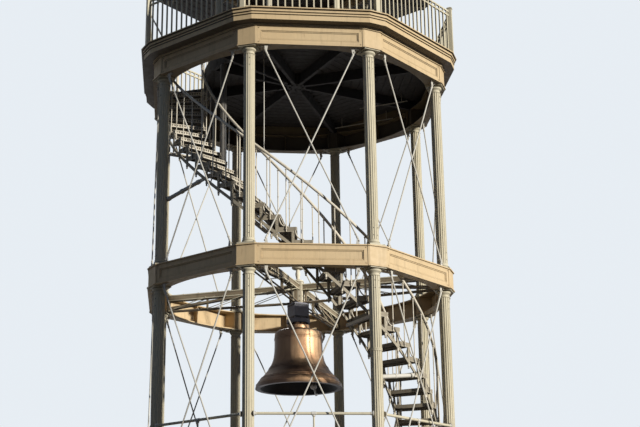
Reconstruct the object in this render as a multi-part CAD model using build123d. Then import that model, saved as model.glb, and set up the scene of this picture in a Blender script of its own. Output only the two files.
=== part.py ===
from build123d import *
from math import cos, sin, tan, radians, degrees, sqrt, atan2
import os

os.makedirs("parts", exist_ok=True)

# Octagonal cast-iron fire watchtower, in millimetres, +Z up, origin on the ground
# under the middle. The flat front side faces -Y. Angles are measured in plan from
# the front towards +X, so a column stands at every odd multiple of 22.5 degrees.

# Frame of the tower
SIDE = 1960
TIER = 3695
LEVELS = (TIER, 2 * TIER, 3 * TIER)
HALF_STEP = 22.5
A = radians(HALF_STEP)
COLUMN_RING = SIDE / 2 / sin(A)
COLUMN_LINE = SIDE / 2 / tan(A)
COLUMN_ANGLES = [HALF_STEP + 45 * k for k in range(8)]
BAY_ANGLES = [45 * k for k in range(8)]
SEAT_GAP = 0.3

# Columns
FOOTING_HALF = 172
FOOTING_HEIGHT = 150
SHAFT_RADIUS = 92
SHAFT_TAPER = 5
FLUTES = 16
FLUTE_RADIUS = 13
FLUTE_OUTSET = 4
PLINTH = 292
PLINTH_HEIGHT = 30
TORUS_OUT = 20
TORUS_HEIGHT = 30
SCOTIA_OUT = 10
SCOTIA_HEIGHT = 10
BEAD_OUT = 6
BEAD_HEIGHT = 18
BASE_HEIGHT = 84
NECK_DROP = 40
CAPITAL_HEIGHT = 76
ECHINUS_FOOT = 8
ECHINUS_OUT = 16
ECHINUS_SWELL = 8
ABACUS_HEIGHT = 16

# Ring girders and corner blocks
GIRDER_OUT = 184
GIRDER_FACE = COLUMN_LINE + GIRDER_OUT
GIRDER_HEIGHT = 340
WEB = 26
FLANGE = 18
FLANGE_RING = GIRDER_FACE - 125
BLOCK_PROUD = 8
BLOCK_FACE = GIRDER_FACE + BLOCK_PROUD
BLOCK_NOSE_HALF = 149
BLOCK_CHEEK = 31
BLOCK_DEPTH = 250
PANEL_INSET = 10
PANEL_SIDE_MARGIN = 62
PANEL_TOP_MARGIN = 88
PANEL_STEP = 18
LIP_OUT = 22
LIP_HEIGHT = 18
RIB_THICKNESS = 14
RIB_END_SET = 14

# Crossed tie rods
ROD_RADIUS = 12
ROD_LINE = COLUMN_LINE + 128
ROD_SPLIT = 32
ROD_FROM_COLUMN = 265
LUG_HEIGHT = 110
LUG_HALF_BASE = 30
LUG_THICKNESS = 22
LUG_HALF_TIP = 15

# Helical stair
RISERS = 53
RISE = 213.8
FOOT_STEP = 26
STEP_ANGLE = 6.244
STAIR_TOP_ANGLE = -112.5
STAIR_CLEARANCE = 77
TREAD_LENGTH = 658
TREAD_OUTER = FLANGE_RING - STAIR_CLEARANCE
TREAD_INNER = TREAD_OUTER - TREAD_LENGTH
TREAD_THICKNESS = 60
NOSING = 0.7
STRINGER_THICKNESS = 20
STRINGER_DEPTH = 304
STRINGER_POST = 44
STRINGER_SOLE = 62
RAIL_HEIGHT = 892
RAIL_RADIUS = 22
RAIL_SIDES = 10
BALUSTER_RADIUS = 10
BALUSTER_SIDES = 6
INNER_BALUSTER_SET = 32
NEWEL_RADIUS = 26
NEWEL_HEIGHT = 1120
ARM_WIDTH = 50
ARM_DEPTH = 50
ARM_COLUMNS = (-67.5, -22.5, 22.5, 67.5, 112.5, 157.5)
STRUT_COLUMNS = (-67.5, 22.5, 67.5, 112.5, 157.5)
STRUT_DEPTH = 60
STRUT_RISE = 166
STRUT_REACH = 21.5
HANGER_ANGLE = -56
HANGER_RADIUS = 55
ROUND_SIDES = 12

# Rail of the first level
LOW_RAIL_HEIGHT = 1085
LOW_RAIL_RADIUS = 22
LOW_RAIL_RING = COLUMN_LINE + 68
LOW_POST_RADIUS = 14

# Bell frame at the second level
BEAM_ANGLES = (-22.5, 67.5, 157.5, -112.5)
BEAM_DEPTH = 110
BEAM_FLAT = 24
BEAM_SPREAD = 96
BEAM_DROP = 24
BEAM_POSTS = (0.02, 0.34, 0.67, 0.98)
CHORD_RADIUS = 15
BRACE_DEPTH = 50
BRACE_INNER = (850, 1150)
YOKE_HALF = 95
YOKE_TOP = 14
YOKE_BOTTOM = 361
YOKE_GROOVE = 40
YOKE_GROOVE_DEPTH = 22
SCREW_DISC_RADIUS = 104
SCREW_DISC_HEIGHT = 60
SCREW_RIM = 14
SCREW_STEM_RADIUS = 30
SCREW_BULB_RADIUS = 44
SCREW_TOP = 321
HEADSTOCK = 276
HEADSTOCK_HEIGHT = 283
HEADSTOCK_ANGLE = 22.5
HEADSTOCK_DISC_RADIUS = 204
HEADSTOCK_DISC_HEIGHT = 68

# Bell, as heights over the mouth and radii of its wall
BELL_HEIGHT = 1106
BELL_MOUTH_RADIUS = 741
BELL_OUTSIDE = [(730, 48), (694, 112), (612, 206), (519, 322), (446, 465), (414, 650), (410, 850)]
BELL_SHOULDER = [(386, 946), (300, 999)]
BELL_INSIDE = [(352, 854), (360, 650), (388, 484), (456, 324), (545, 200), (614, 100), (660, 0)]
BELL_CEILING = [(0, 946), (240, 936), (322, 908)]
CROWN_RADIUS = 200
CROWN_RISE = 20
CANON_RADIUS = 150
CANON_HEIGHT = 20

# Clapper
PIVOT_ABOVE_MOUTH = 874
PIN_RADIUS = 12.5
EYE_CLEARANCE = 1
EYE_RADIUS = 38
EYE_WIDTH = 34
CHEEK_GAP = 6
CHEEK_THICKNESS = 22
CHEEK_BELOW_PIN = 35
CHEEK_HEIGHT = 140
CLAPPER_SHANK = 22
CLAPPER_TAIL = 20
CLAPPER_BALL = 62
BALL_BELOW_PIVOT = 860
CLAPPER_LENGTH = 1035
CLAPPER_LEAN = 17

# Deck
DECK_RISE = 225
DECK_TOP = LEVELS[2] + DECK_RISE
DECK_PLATE = 30
CORNICE_OUT = 420
CORNICE_FACE = COLUMN_LINE + CORNICE_OUT
CORNICE_NOSE_HALF = 165
CORNICE_NOSE = (CORNICE_FACE - CORNICE_NOSE_HALF * sin(A)) / cos(A)
CORNICE_INNER = CORNICE_FACE - 186
CORNICE_BED = GIRDER_FACE - 70
RIB_WIDTH = 60
HUB_RADIUS = 170
WELL_INNER = TREAD_INNER - 10
WELL_OUTER = TREAD_OUTER + 92
WELL_END_ANGLE = -50
TRIMMER_WIDTH = 60
FRAME_CLEARANCE = 2

# Deck railing
POST_SET_BACK = 57
POST_RING = CORNICE_NOSE - POST_SET_BACK
POST_SIZE = 75
RAILING_HEIGHT = 860
RAILING_BAR = 26
SECOND_RAIL_DROP = 80
BALUSTER_SIZE = 22
BALUSTERS_A_SIDE = 18

# Cab and roof
CAB_RING = 1550
CAB_COLUMN_RADIUS = 52
CAB_COLLAR = 20
CAB_COLLAR_HEIGHT = 65
CAB_HEIGHT = 2044
CAB_BEAM_HEIGHT = 160
CAB_BEAM_WIDTH = 90
EAVES_OUT = 343
EAVES_FACE = COLUMN_LINE + EAVES_OUT
SOFFIT_THICKNESS = 40
FASCIA_OUT = 45
FASCIA_HEIGHT = 110
ROOF_RISE = 480
ROOF_TOP_HALF = 190
CAP_OUT = 30
CAP_HEIGHT = 60
FINIAL_HEIGHT = 260

LINE_SLOPE = RISE / STEP_ANGLE


# Helpers
def outward(angle, radius, z=0):
    a = radians(angle)
    return Vector(radius * sin(a), -radius * cos(a), z)


def at_angle(shape, angle):
    return Rot(0, 0, angle) * shape


def plan_prism(points, low, high):
    face = make_face(Polyline(*points, close=True))
    return Pos(0, 0, low) * extrude(face, high - low)


def side_prism(points, near, far):
    # Points are (across, up); the prism runs outwards from near to far at the front.
    face = make_face(Plane.XZ.offset(near) * Polyline(*points, close=True))
    return extrude(face, far - near, dir=(0, -1, 0))


def rectangle(half_width, low, high):
    return [(-half_width, low), (half_width, low), (half_width, high), (-half_width, high)]


def save(node, solids):
    export_step(Compound(children=list(solids)), f"parts/{node}.step")


def bar_between(start, end, radius, sides=8, x_dir=None):
    direction = end - start
    plane = Plane(origin=start, x_dir=x_dir, z_dir=direction)
    return extrude(plane * RegularPolygon(radius, sides), direction.length)


def octagon(half):
    return RegularPolygon(half, 8, major_radius=False, rotation=HALF_STEP)


def chamfered_octagon(inset):
    face = CORNICE_FACE - inset
    nose = CORNICE_NOSE - inset
    reach = (nose - face * cos(A)) / sin(A)
    points = []
    for angle in BAY_ANGLES:
        a = radians(angle)
        for t in (-reach, reach):
            points.append((face * sin(a) + t * cos(a), -face * cos(a) + t * sin(a)))
    return points


def wedge(first, last, inner, outer, low, high):
    # A sector of a ring with straight radial edges and round inner and outer edges.
    ring = Pos(0, 0, low) * extrude(Circle(outer), high - low)
    if inner:
        ring -= Pos(0, 0, low) * extrude(Circle(inner), high - low)
    middle = (first + last) / 2
    apex = outward(middle, SEAT_GAP / 2 / sin(radians((last - first) / 2)))
    corners = [apex] + [apex + outward(angle, 2 * outer) for angle in (first, middle, last)]
    return ring & plan_prism([(p.X, p.Y) for p in corners], low, high)


# Footings and columns
def make_base():
    torus = SHAFT_RADIUS + TORUS_OUT
    scotia = SHAFT_RADIUS + SCOTIA_OUT
    torus_top = PLINTH_HEIGHT + TORUS_HEIGHT
    scotia_top = torus_top + SCOTIA_HEIGHT
    bead_top = scotia_top + BEAD_HEIGHT
    top = PLINTH_HEIGHT + BASE_HEIGHT
    swell = TORUS_HEIGHT / 3
    line = Polyline((0, PLINTH_HEIGHT), (torus, PLINTH_HEIGHT))
    line += ThreePointArc((torus, PLINTH_HEIGHT), (torus + swell, PLINTH_HEIGHT + TORUS_HEIGHT / 2),
                          (torus, torus_top))
    line += Polyline((torus, torus_top), (scotia, torus_top), (scotia, scotia_top))
    line += ThreePointArc((scotia, scotia_top), (scotia + BEAD_OUT, (scotia_top + bead_top) / 2),
                          (scotia, bead_top))
    line += Polyline((scotia, bead_top), (SHAFT_RADIUS + BEAD_OUT, bead_top),
                     (SHAFT_RADIUS + BEAD_OUT, top), (0, top), (0, PLINTH_HEIGHT))
    return revolve(make_face(Plane.XZ * line), Axis.Z)


def make_capital(height):
    neck = height - CAPITAL_HEIGHT - NECK_DROP
    cap = height - CAPITAL_HEIGHT
    foot = cap + ECHINUS_FOOT
    under = height - ABACUS_HEIGHT
    throat = SHAFT_RADIUS - SHAFT_TAPER
    fillet = SHAFT_RADIUS + SHAFT_TAPER
    brim = SHAFT_RADIUS + ECHINUS_OUT
    line = Polyline((0, neck), (throat, neck), (throat, cap), (fillet, cap), (fillet, foot))
    line += ThreePointArc((fillet, foot), (brim + ECHINUS_SWELL, (foot + under) / 2), (brim, under))
    line += Polyline((brim, under), (0, under), (0, neck))
    return revolve(make_face(Plane.XZ * line), Axis.Z)


def make_column(height):
    # Base, shaft and capital are castings of their own, seated on each other.
    shaft_face = Circle(SHAFT_RADIUS)
    for location in PolarLocations(SHAFT_RADIUS + FLUTE_OUTSET, FLUTES):
        shaft_face -= location * Circle(FLUTE_RADIUS)
    shaft_low = PLINTH_HEIGHT + BASE_HEIGHT + SEAT_GAP
    shaft_top = height - CAPITAL_HEIGHT - NECK_DROP - SEAT_GAP
    shaft = Pos(0, 0, shaft_low) * extrude(shaft_face, shaft_top - shaft_low)
    base = make_base() + Pos(0, 0, PLINTH_HEIGHT / 2) * Box(PLINTH, PLINTH, PLINTH_HEIGHT)
    abacus = Pos(0, 0, height - ABACUS_HEIGHT / 2) * Box(PLINTH, PLINTH, ABACUS_HEIGHT)
    return [base, shaft, make_capital(height) + abacus]


def ring_of_columns(shapes, z):
    return [at_angle(Pos(0, -COLUMN_RING, z) * shape, angle)
            for angle in COLUMN_ANGLES for shape in shapes]


footing = extrude(RegularPolygon(FOOTING_HALF, 8, major_radius=False), FOOTING_HEIGHT)
save("footings", ring_of_columns([footing], 0))
for number, floor in enumerate((FOOTING_HEIGHT, LEVELS[0], LEVELS[1])):
    column = make_column(LEVELS[number] - GIRDER_HEIGHT - floor)
    save(f"tier_{number + 1}_columns", ring_of_columns(column, floor))


# Corner blocks over the columns, and the room they leave for the girders
BLOCK_NOSE = (BLOCK_FACE - BLOCK_NOSE_HALF * sin(A)) / cos(A)
BLOCK_REACH = BLOCK_NOSE_HALF + BLOCK_CHEEK
block_side = (BLOCK_FACE - BLOCK_REACH * sin(A)) / cos(A)
GIRDER_HALF = block_side * sin(A) - BLOCK_REACH * cos(A) - SEAT_GAP
BEAM_END = block_side - BLOCK_DEPTH * cos(A) - SEAT_GAP


def block_outline(lip):
    root_half = BLOCK_REACH - BLOCK_DEPTH * sin(A)
    root = block_side - BLOCK_DEPTH * cos(A)
    right = [(BLOCK_NOSE_HALF + lip * tan(A / 2), BLOCK_NOSE + lip),
             (BLOCK_REACH + lip * sin(A), block_side + lip * cos(A)), (root_half, root)]
    left = [(-across, out) for across, out in reversed(right)]
    return [(across, -out) for across, out in right + left]


# Ring girders: a web with sunk panel and lips, two flanges and three ribs behind it
def make_web(low, top):
    web = side_prism(rectangle(GIRDER_HALF, low, top), GIRDER_FACE - WEB, GIRDER_FACE)
    for index in range(2):
        side = PANEL_SIDE_MARGIN + index * PANEL_STEP
        edge = PANEL_TOP_MARGIN + index * PANEL_STEP
        sunk = GIRDER_FACE - (index + 1) * PANEL_INSET
        web -= side_prism(rectangle(GIRDER_HALF - side, low + edge, top - edge), sunk, GIRDER_FACE)
    for lip_low in (low, top - LIP_HEIGHT):
        web += side_prism(rectangle(GIRDER_HALF, lip_low, lip_low + LIP_HEIGHT),
                          GIRDER_FACE, GIRDER_FACE + LIP_OUT)
    return web


def make_flange(low):
    back = GIRDER_FACE - WEB - SEAT_GAP
    root = sqrt(FLANGE_RING ** 2 - GIRDER_HALF ** 2) - FLANGE
    shelf = plan_prism([(-GIRDER_HALF, -root), (GIRDER_HALF, -root), (GIRDER_HALF, -back),
                        (-GIRDER_HALF, -back)], low, low + FLANGE)
    return shelf - Pos(0, 0, low) * extrude(Circle(FLANGE_RING), FLANGE)


def make_girder(top):
    low = top - GIRDER_HEIGHT
    back = GIRDER_FACE - WEB - SEAT_GAP
    pieces = [make_web(low, top), make_flange(low), make_flange(top - FLANGE)]
    end_rib = GIRDER_HALF - RIB_END_SET
    for middle in (-end_rib, 0, end_rib):
        side = (middle - RIB_THICKNESS / 2, middle + RIB_THICKNESS / 2)
        front = sqrt(FLANGE_RING ** 2 - (abs(middle) - RIB_THICKNESS / 2) ** 2)
        outline = [(side[0], -front), (side[1], -front), (side[1], -back), (side[0], -back)]
        pieces.append(plan_prism(outline, low + FLANGE + SEAT_GAP, top - FLANGE - SEAT_GAP))
    return pieces


for number, level in enumerate(LEVELS):
    block = plan_prism(block_outline(0), level - GIRDER_HEIGHT, level)
    for lip_low in (level - GIRDER_HEIGHT, level - LIP_HEIGHT):
        block += plan_prism(block_outline(LIP_OUT), lip_low, lip_low + LIP_HEIGHT)
    save(f"level_{number + 1}_corner_blocks", [at_angle(block, angle) for angle in COLUMN_ANGLES])
    girder = make_girder(level)
    save(f"level_{number + 1}_girders",
         [at_angle(piece, angle) for angle in BAY_ANGLES for piece in girder])


# Crossed tie rods, each held by a lug at both ends
def make_lug(foot, tip, seat, plane):
    direction = Vector(tip[0] - foot[0], tip[1] - foot[1]).normalized()
    side = (-direction.Y * LUG_HALF_TIP, direction.X * LUG_HALF_TIP)
    outline = [(foot[0] - LUG_HALF_BASE, seat), (foot[0] + LUG_HALF_BASE, seat)]
    ends = [(foot[0] + side[0], foot[1] + side[1]), (foot[0] - side[0], foot[1] - side[1])]
    if ends[0][0] < ends[1][0]:
        ends.reverse()
    return side_prism(outline + ends, plane - LUG_THICKNESS / 2, plane + LUG_THICKNESS / 2)


def make_tie_rod(low, high, mirror, plane):
    across = SIDE / 2 - ROD_FROM_COLUMN
    foot = (-across * mirror, low + LUG_HEIGHT)
    head = (across * mirror, high - LUG_HEIGHT)
    start = Vector(foot[0], -plane, foot[1])
    end = Vector(head[0], -plane, head[1])
    seat = (end - start).normalized() * SEAT_GAP
    rod = bar_between(start + seat, end - seat, ROD_RADIUS)
    return [rod, make_lug(foot, head, low, plane), make_lug(head, foot, high, plane)]


for number, level in enumerate(LEVELS):
    floor = LEVELS[number - 1] if number else 0
    top = level - GIRDER_HEIGHT
    pair = make_tie_rod(floor, top, 1, ROD_LINE - ROD_SPLIT / 2)
    pair += make_tie_rod(floor, top, -1, ROD_LINE + ROD_SPLIT / 2)
    save(f"tier_{number + 1}_tie_rods",
         [at_angle(piece, angle) for angle in BAY_ANGLES for piece in pair])


# Helical stair, climbing clockwise as seen from above
def nose_angle(step):
    return STAIR_TOP_ANGLE + (RISERS - step) * STEP_ANGLE


def tread_height(step):
    return FOOT_STEP + step * RISE


def line_height(angle):
    # The pitch line, through the front edges of the treads.
    return tread_height(RISERS) - (angle - STAIR_TOP_ANGLE) * LINE_SLOPE


def make_tread(step):
    front = nose_angle(step) + NOSING
    back = nose_angle(step + 1) + degrees(SEAT_GAP / TREAD_INNER)
    corners = [outward(front, TREAD_INNER), outward(front, TREAD_OUTER),
               outward(back, TREAD_OUTER), outward(back, TREAD_INNER)]
    top = tread_height(step)
    return plan_prism([(p.X, p.Y) for p in corners], top - TREAD_THICKNESS, top)


def make_stringer_piece(step, near):
    # Cut string: a post under the front edge, a sloping sole and an open panel between.
    half = near * tan(radians(STEP_ANGLE / 2)) - SEAT_GAP / 2
    top = tread_height(step) - TREAD_THICKNESS
    low = max(0, top - STRINGER_DEPTH)
    high = max(0, top - STRINGER_DEPTH + RISE)
    outline = [(-half, high), (half, low), (half, top), (-half, top)]
    piece = side_prism(outline, near, near + STRINGER_THICKNESS)
    if low:
        slope = RISE / (2 * half)
        right = half - STRINGER_POST
        sill = low + STRINGER_SOLE + STRINGER_POST * slope
        lintel = top - STRINGER_THICKNESS
        opening = [(right, sill), (right, lintel), (right - (lintel - sill) / slope, lintel)]
        piece -= side_prism(opening, near, near + STRINGER_THICKNESS)
    return at_angle(piece, nose_angle(step) - STEP_ANGLE / 2)


OUTER_STRINGER_RING = TREAD_OUTER - STRINGER_THICKNESS
INNER_BALUSTER_RING = TREAD_INNER + INNER_BALUSTER_SET
OUTER_BALUSTER_RING = TREAD_OUTER + BALUSTER_RADIUS + SEAT_GAP
RAIL_SLOPE = {ring: atan2(LINE_SLOPE, ring * radians(1))
              for ring in (INNER_BALUSTER_RING, OUTER_BALUSTER_RING)}


def make_baluster(step, ring, foot):
    middle = nose_angle(step) - STEP_ANGLE / 2
    slope = RAIL_SLOPE[ring]
    flat_half = BALUSTER_RADIUS * cos(radians(180 / BALUSTER_SIDES))
    under_rail = RAIL_RADIUS / cos(slope) + flat_half * tan(slope) + SEAT_GAP
    top = line_height(middle) + RAIL_HEIGHT - under_rail
    return bar_between(outward(middle, ring, foot), outward(middle, ring, top),
                       BALUSTER_RADIUS, BALUSTER_SIDES, outward(middle, 1))


def make_handrail(steps, ring):
    # The lowest rail meets its newel; each flight's rails end just clear of the next.
    first = nose_angle(steps[0]) + (NOSING if steps[0] == 1 else -degrees(SEAT_GAP / ring))
    last = nose_angle(steps[-1] + 1) + degrees(SEAT_GAP / ring)
    angles = [first] + [nose_angle(step) - STEP_ANGLE / 2 for step in steps] + [last]
    grow = 1 / cos(radians(180 / RAIL_SIDES))
    width = RAIL_RADIUS * grow
    height = RAIL_RADIUS / cos(RAIL_SLOPE[ring]) * grow
    corners = [360 / RAIL_SIDES * (k + 0.5) - 90 for k in range(RAIL_SIDES)]
    outline = [(width * cos(radians(c)), height * sin(radians(c))) for c in corners]
    sections = []
    for angle in angles:
        middle = outward(angle, ring, line_height(angle) + RAIL_HEIGHT)
        plane = Plane(origin=middle, x_dir=outward(angle, 1), z_dir=outward(angle - 90, 1))
        sections.append(make_face(plane * Polyline(*outline, close=True)))
    return loft(sections, ruled=True)


flights = [[], [], []]
for step in range(1, RISERS):
    flights[min(int(tread_height(step) // TIER), 2)].append(step)

for number, steps in enumerate(flights):
    save(f"flight_{number + 1}_treads", [make_tread(step) for step in steps])
    save(f"flight_{number + 1}_stringers",
         [make_stringer_piece(step, ring) for ring in (TREAD_INNER, OUTER_STRINGER_RING)
          for step in steps])
    balusters = []
    for step in steps:
        tread_top = tread_height(step)
        balusters.append(make_baluster(step, INNER_BALUSTER_RING, tread_top + SEAT_GAP))
        side_foot = max(0, tread_top - TREAD_THICKNESS - 2 * BALUSTER_RADIUS)
        balusters.append(make_baluster(step, OUTER_BALUSTER_RING, side_foot))
    save(f"flight_{number + 1}_balusters", balusters)
    save(f"flight_{number + 1}_handrails",
         [make_handrail(steps, ring) for ring in (INNER_BALUSTER_RING, OUTER_BALUSTER_RING)])


# Newel posts at the foot of the stair, clear of the first tread, and on the deck
def make_newel(angle, ring, foot, top):
    return bar_between(outward(angle, ring, foot), outward(angle, ring, top), NEWEL_RADIUS, ROUND_SIDES)


newels = []
for ring in (INNER_BALUSTER_RING, OUTER_BALUSTER_RING):
    beside = degrees((NEWEL_RADIUS + SEAT_GAP) / ring)
    newels.append(make_newel(nose_angle(1) + NOSING + beside, ring, 0, NEWEL_HEIGHT + RISE))
    newels.append(make_newel(STAIR_TOP_ANGLE - beside, ring, DECK_TOP, DECK_TOP + NEWEL_HEIGHT))
save("stair_newels", newels)


# Arms and struts that carry the stair from the columns
def arm_top(angle):
    drop = ARM_WIDTH / 2 / (TREAD_INNER * radians(1)) * LINE_SLOPE
    return line_height(angle) - TREAD_THICKNESS - STRINGER_DEPTH - drop - SEAT_GAP


def make_strut(angle):
    # Rises beside the bay from a column's flank to the underside of the outer string.
    step = round(RISERS - 0.5 - (angle + STRUT_REACH - STAIR_TOP_ANGLE) / STEP_ANGLE)
    middle = nose_angle(step) - STEP_ANGLE / 2
    slope = RISE / (2 * OUTER_STRINGER_RING * tan(radians(STEP_ANGLE / 2)))
    under = tread_height(step) - TREAD_THICKNESS - STRINGER_DEPTH + RISE / 2 - SEAT_GAP
    across = COLUMN_RING * sin(radians(angle - middle))
    incline = STRUT_RISE / -across
    corners = []
    for edge in (under, under - STRUT_DEPTH):
        meet = (under - edge) / (incline + slope)
        corners.append((meet, edge + incline * meet))
        corners.append((across, edge + incline * across))
    upper_end, upper_foot, lower_end, lower_foot = corners
    bar = side_prism([upper_end, upper_foot, lower_foot, lower_end],
                     OUTER_STRINGER_RING, OUTER_STRINGER_RING + STRINGER_THICKNESS)
    column = extrude(Circle(SHAFT_RADIUS + SEAT_GAP), DECK_TOP)
    return at_angle(bar, middle) - at_angle(Pos(0, -COLUMN_RING, 0) * column, angle)


supports = []
column_side = COLUMN_RING - SHAFT_RADIUS - SEAT_GAP
for angle in ARM_COLUMNS:
    top = arm_top(angle)
    half = ARM_WIDTH / 2
    arm = plan_prism([(-half, -TREAD_INNER), (half, -TREAD_INNER), (half, -column_side),
                      (-half, -column_side)], top - ARM_DEPTH, top)
    supports.append(at_angle(arm, angle))
supports += [make_strut(angle) for angle in STRUT_COLUMNS]
save("stair_arms", supports)

tread_chord = TREAD_INNER * cos(radians((STEP_ANGLE + NOSING) / 2))
hanger_ring = tread_chord - HANGER_RADIUS - SEAT_GAP
hanger_low = line_height(HANGER_ANGLE) - TREAD_THICKNESS - STRINGER_DEPTH
save("stair_hanger_post", [bar_between(outward(HANGER_ANGLE, hanger_ring, hanger_low),
                                       outward(HANGER_ANGLE, hanger_ring, LEVELS[2] - SEAT_GAP),
                                       HANGER_RADIUS, ROUND_SIDES)])


# Single pipe rail of the first level, one length and its post in each bay
def make_low_rail():
    height = LEVELS[0] + LOW_RAIL_HEIGHT
    offset = LOW_RAIL_RING - COLUMN_LINE
    reach = SIDE / 2 - sqrt(SHAFT_RADIUS ** 2 - offset ** 2) - LOW_RAIL_RADIUS
    rail = bar_between(Vector(-reach, -LOW_RAIL_RING, height), Vector(reach, -LOW_RAIL_RING, height),
                       LOW_RAIL_RADIUS, RAIL_SIDES, Vector(0, 0, 1))
    post_top = height - LOW_RAIL_RADIUS - SEAT_GAP
    post = bar_between(Vector(0, -LOW_RAIL_RING, LEVELS[0]), Vector(0, -LOW_RAIL_RING, post_top),
                       LOW_POST_RADIUS)
    return [rail, post]


low_rail = make_low_rail()
save("level_1_rails", [at_angle(piece, angle) for angle in BAY_ANGLES for piece in low_rail])


# Trussed twin beams that meet at the bell
BELL_LEVEL = LEVELS[1]


def make_bell_beam():
    # Two flats over two chords, with square posts held between them.
    top = BELL_LEVEL - BEAM_DROP
    inner = YOKE_HALF + SEAT_GAP
    half = BEAM_SPREAD / 2
    web_half = half - BEAM_FLAT
    chord = BELL_LEVEL - YOKE_BOTTOM + CHORD_RADIUS
    chord_end = BELL_LEVEL - GIRDER_HEIGHT + 2 * CHORD_RADIUS
    under_flats = top - BEAM_DEPTH - SEAT_GAP
    pieces = []
    for side in (-1, 1):
        flat = [(side * half, -inner), (side * web_half, -inner),
                (side * web_half, -BEAM_END), (side * half, -BEAM_END)]
        pieces.append(plan_prism(flat, top - BEAM_DEPTH, top))
        across = side * (web_half + CHORD_RADIUS)
        pieces.append(bar_between(Vector(across, -inner, chord), Vector(across, -BEAM_END, chord_end),
                                  CHORD_RADIUS, 8, Vector(1, 0, 0)))
        brace_low = chord_end + CHORD_RADIUS + SEAT_GAP
        brace = [(-BEAM_END, brace_low), (-BEAM_END, brace_low + BRACE_DEPTH),
                 (-BRACE_INNER[1], under_flats), (-BRACE_INNER[0], under_flats)]
        sheet = extrude(make_face(Plane.YZ * Polyline(*brace, close=True)), BEAM_FLAT, dir=(1, 0, 0))
        pieces.append(Pos(min(side * half, side * web_half), 0, 0) * sheet)
    post_half = web_half - SEAT_GAP
    for share in BEAM_POSTS:
        out = inner + share * (BEAM_END - inner)
        foot = chord + share * (chord_end - chord) - CHORD_RADIUS
        near = max(out - BEAM_FLAT / 2, inner)
        far = min(out + BEAM_FLAT / 2, BEAM_END)
        post = [(-post_half, -near), (post_half, -near), (post_half, -far), (-post_half, -far)]
        pieces.append(plan_prism(post, foot, under_flats + BEAM_DEPTH / 2))
    return pieces


bell_beam = make_bell_beam()
save("bell_beams", [at_angle(piece, angle) for angle in BEAM_ANGLES for piece in bell_beam])

yoke_height = YOKE_TOP + YOKE_BOTTOM
yoke_middle = BELL_LEVEL + (YOKE_TOP - YOKE_BOTTOM) / 2
yoke = Box(2 * YOKE_HALF, 2 * YOKE_HALF, yoke_height)
for location in PolarLocations(YOKE_HALF, 4):
    yoke -= location * Box(2 * YOKE_GROOVE_DEPTH, YOKE_GROOVE, yoke_height)
save("bell_yoke", [at_angle(Pos(0, 0, yoke_middle) * yoke, BEAM_ANGLES[0])])


def make_screw():
    low = YOKE_TOP
    low_rim = low + SCREW_DISC_HEIGHT
    high_rim = SCREW_TOP - SCREW_DISC_HEIGHT
    edge = SCREW_DISC_RADIUS
    stem = SCREW_STEM_RADIUS
    line = Polyline((0, low), (edge - SCREW_RIM, low), (edge, low + SCREW_RIM),
                    (edge, low + 2 * SCREW_RIM), (stem + SCREW_RIM, low_rim), (stem, low_rim))
    line += Spline((stem, low_rim), (SCREW_BULB_RADIUS, (low_rim + high_rim) / 2), (stem, high_rim),
                   tangents=[(0, 1), (0, 1)])
    line += Polyline((stem, high_rim), (edge - SCREW_RIM, high_rim), (edge, high_rim + SCREW_RIM),
                     (edge, SCREW_TOP - SCREW_RIM), (edge - SCREW_RIM, SCREW_TOP), (0, SCREW_TOP), (0, low))
    return Pos(0, 0, BELL_LEVEL) * revolve(make_face(Plane.XZ * line), Axis.Z)


save("suspension_screw", [make_screw()])

headstock_low = BELL_LEVEL - YOKE_BOTTOM - HEADSTOCK_HEIGHT
disc_low = headstock_low - HEADSTOCK_DISC_HEIGHT
headstock = Pos(0, 0, headstock_low + HEADSTOCK_HEIGHT / 2) * Box(HEADSTOCK, HEADSTOCK, HEADSTOCK_HEIGHT)
disc = Pos(0, 0, disc_low) * extrude(Circle(HEADSTOCK_DISC_RADIUS), HEADSTOCK_DISC_HEIGHT - SEAT_GAP)
save("headstock", [at_angle(headstock, HEADSTOCK_ANGLE), disc])

# Bell with its crown and canon stub, and the staple that carries the clapper
MOUTH = disc_low - CANON_HEIGHT - BELL_HEIGHT


def make_bell():
    flat_rim = BELL_SHOULDER[-1]
    crown_foot = (CROWN_RADIUS, BELL_HEIGHT - 4 * CROWN_RISE)
    canon_top = BELL_HEIGHT + CANON_HEIGHT
    line = Polyline(BELL_INSIDE[-1], (BELL_MOUTH_RADIUS, 0))
    line += Spline((BELL_MOUTH_RADIUS, 0), *BELL_OUTSIDE)
    line += Spline(BELL_OUTSIDE[-1], *BELL_SHOULDER, tangents=[(0, 1), (-1, 0.15)])
    line += Polyline(flat_rim, crown_foot, (CROWN_RADIUS, BELL_HEIGHT - CROWN_RISE),
                     (CROWN_RADIUS - CROWN_RISE, BELL_HEIGHT), (CANON_RADIUS, BELL_HEIGHT),
                     (CANON_RADIUS, canon_top), (0, canon_top), BELL_CEILING[0])
    line += Polyline(*BELL_CEILING[:2])
    line += Spline(*BELL_CEILING[1:], BELL_INSIDE[0], tangents=[(1, -0.1), (0, -1)])
    line += Spline(*BELL_INSIDE)
    body = revolve(make_face(Plane.XZ * line), Axis.Z)
    near = EYE_WIDTH / 2 + CHEEK_GAP
    cheek_middle = PIVOT_ABOVE_MOUTH - CHEEK_BELOW_PIN + CHEEK_HEIGHT / 2
    for side in (-1, 1):
        cheek = Box(2 * EYE_RADIUS, CHEEK_THICKNESS, CHEEK_HEIGHT)
        body += Pos(0, side * (near + CHEEK_THICKNESS / 2), cheek_middle) * cheek
    pin = Plane.XZ * extrude(Circle(PIN_RADIUS), near + CHEEK_THICKNESS, both=True)
    body += Pos(0, 0, PIVOT_ABOVE_MOUTH) * pin
    return Pos(0, 0, MOUTH) * body


save("bell", [make_bell()])


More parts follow.
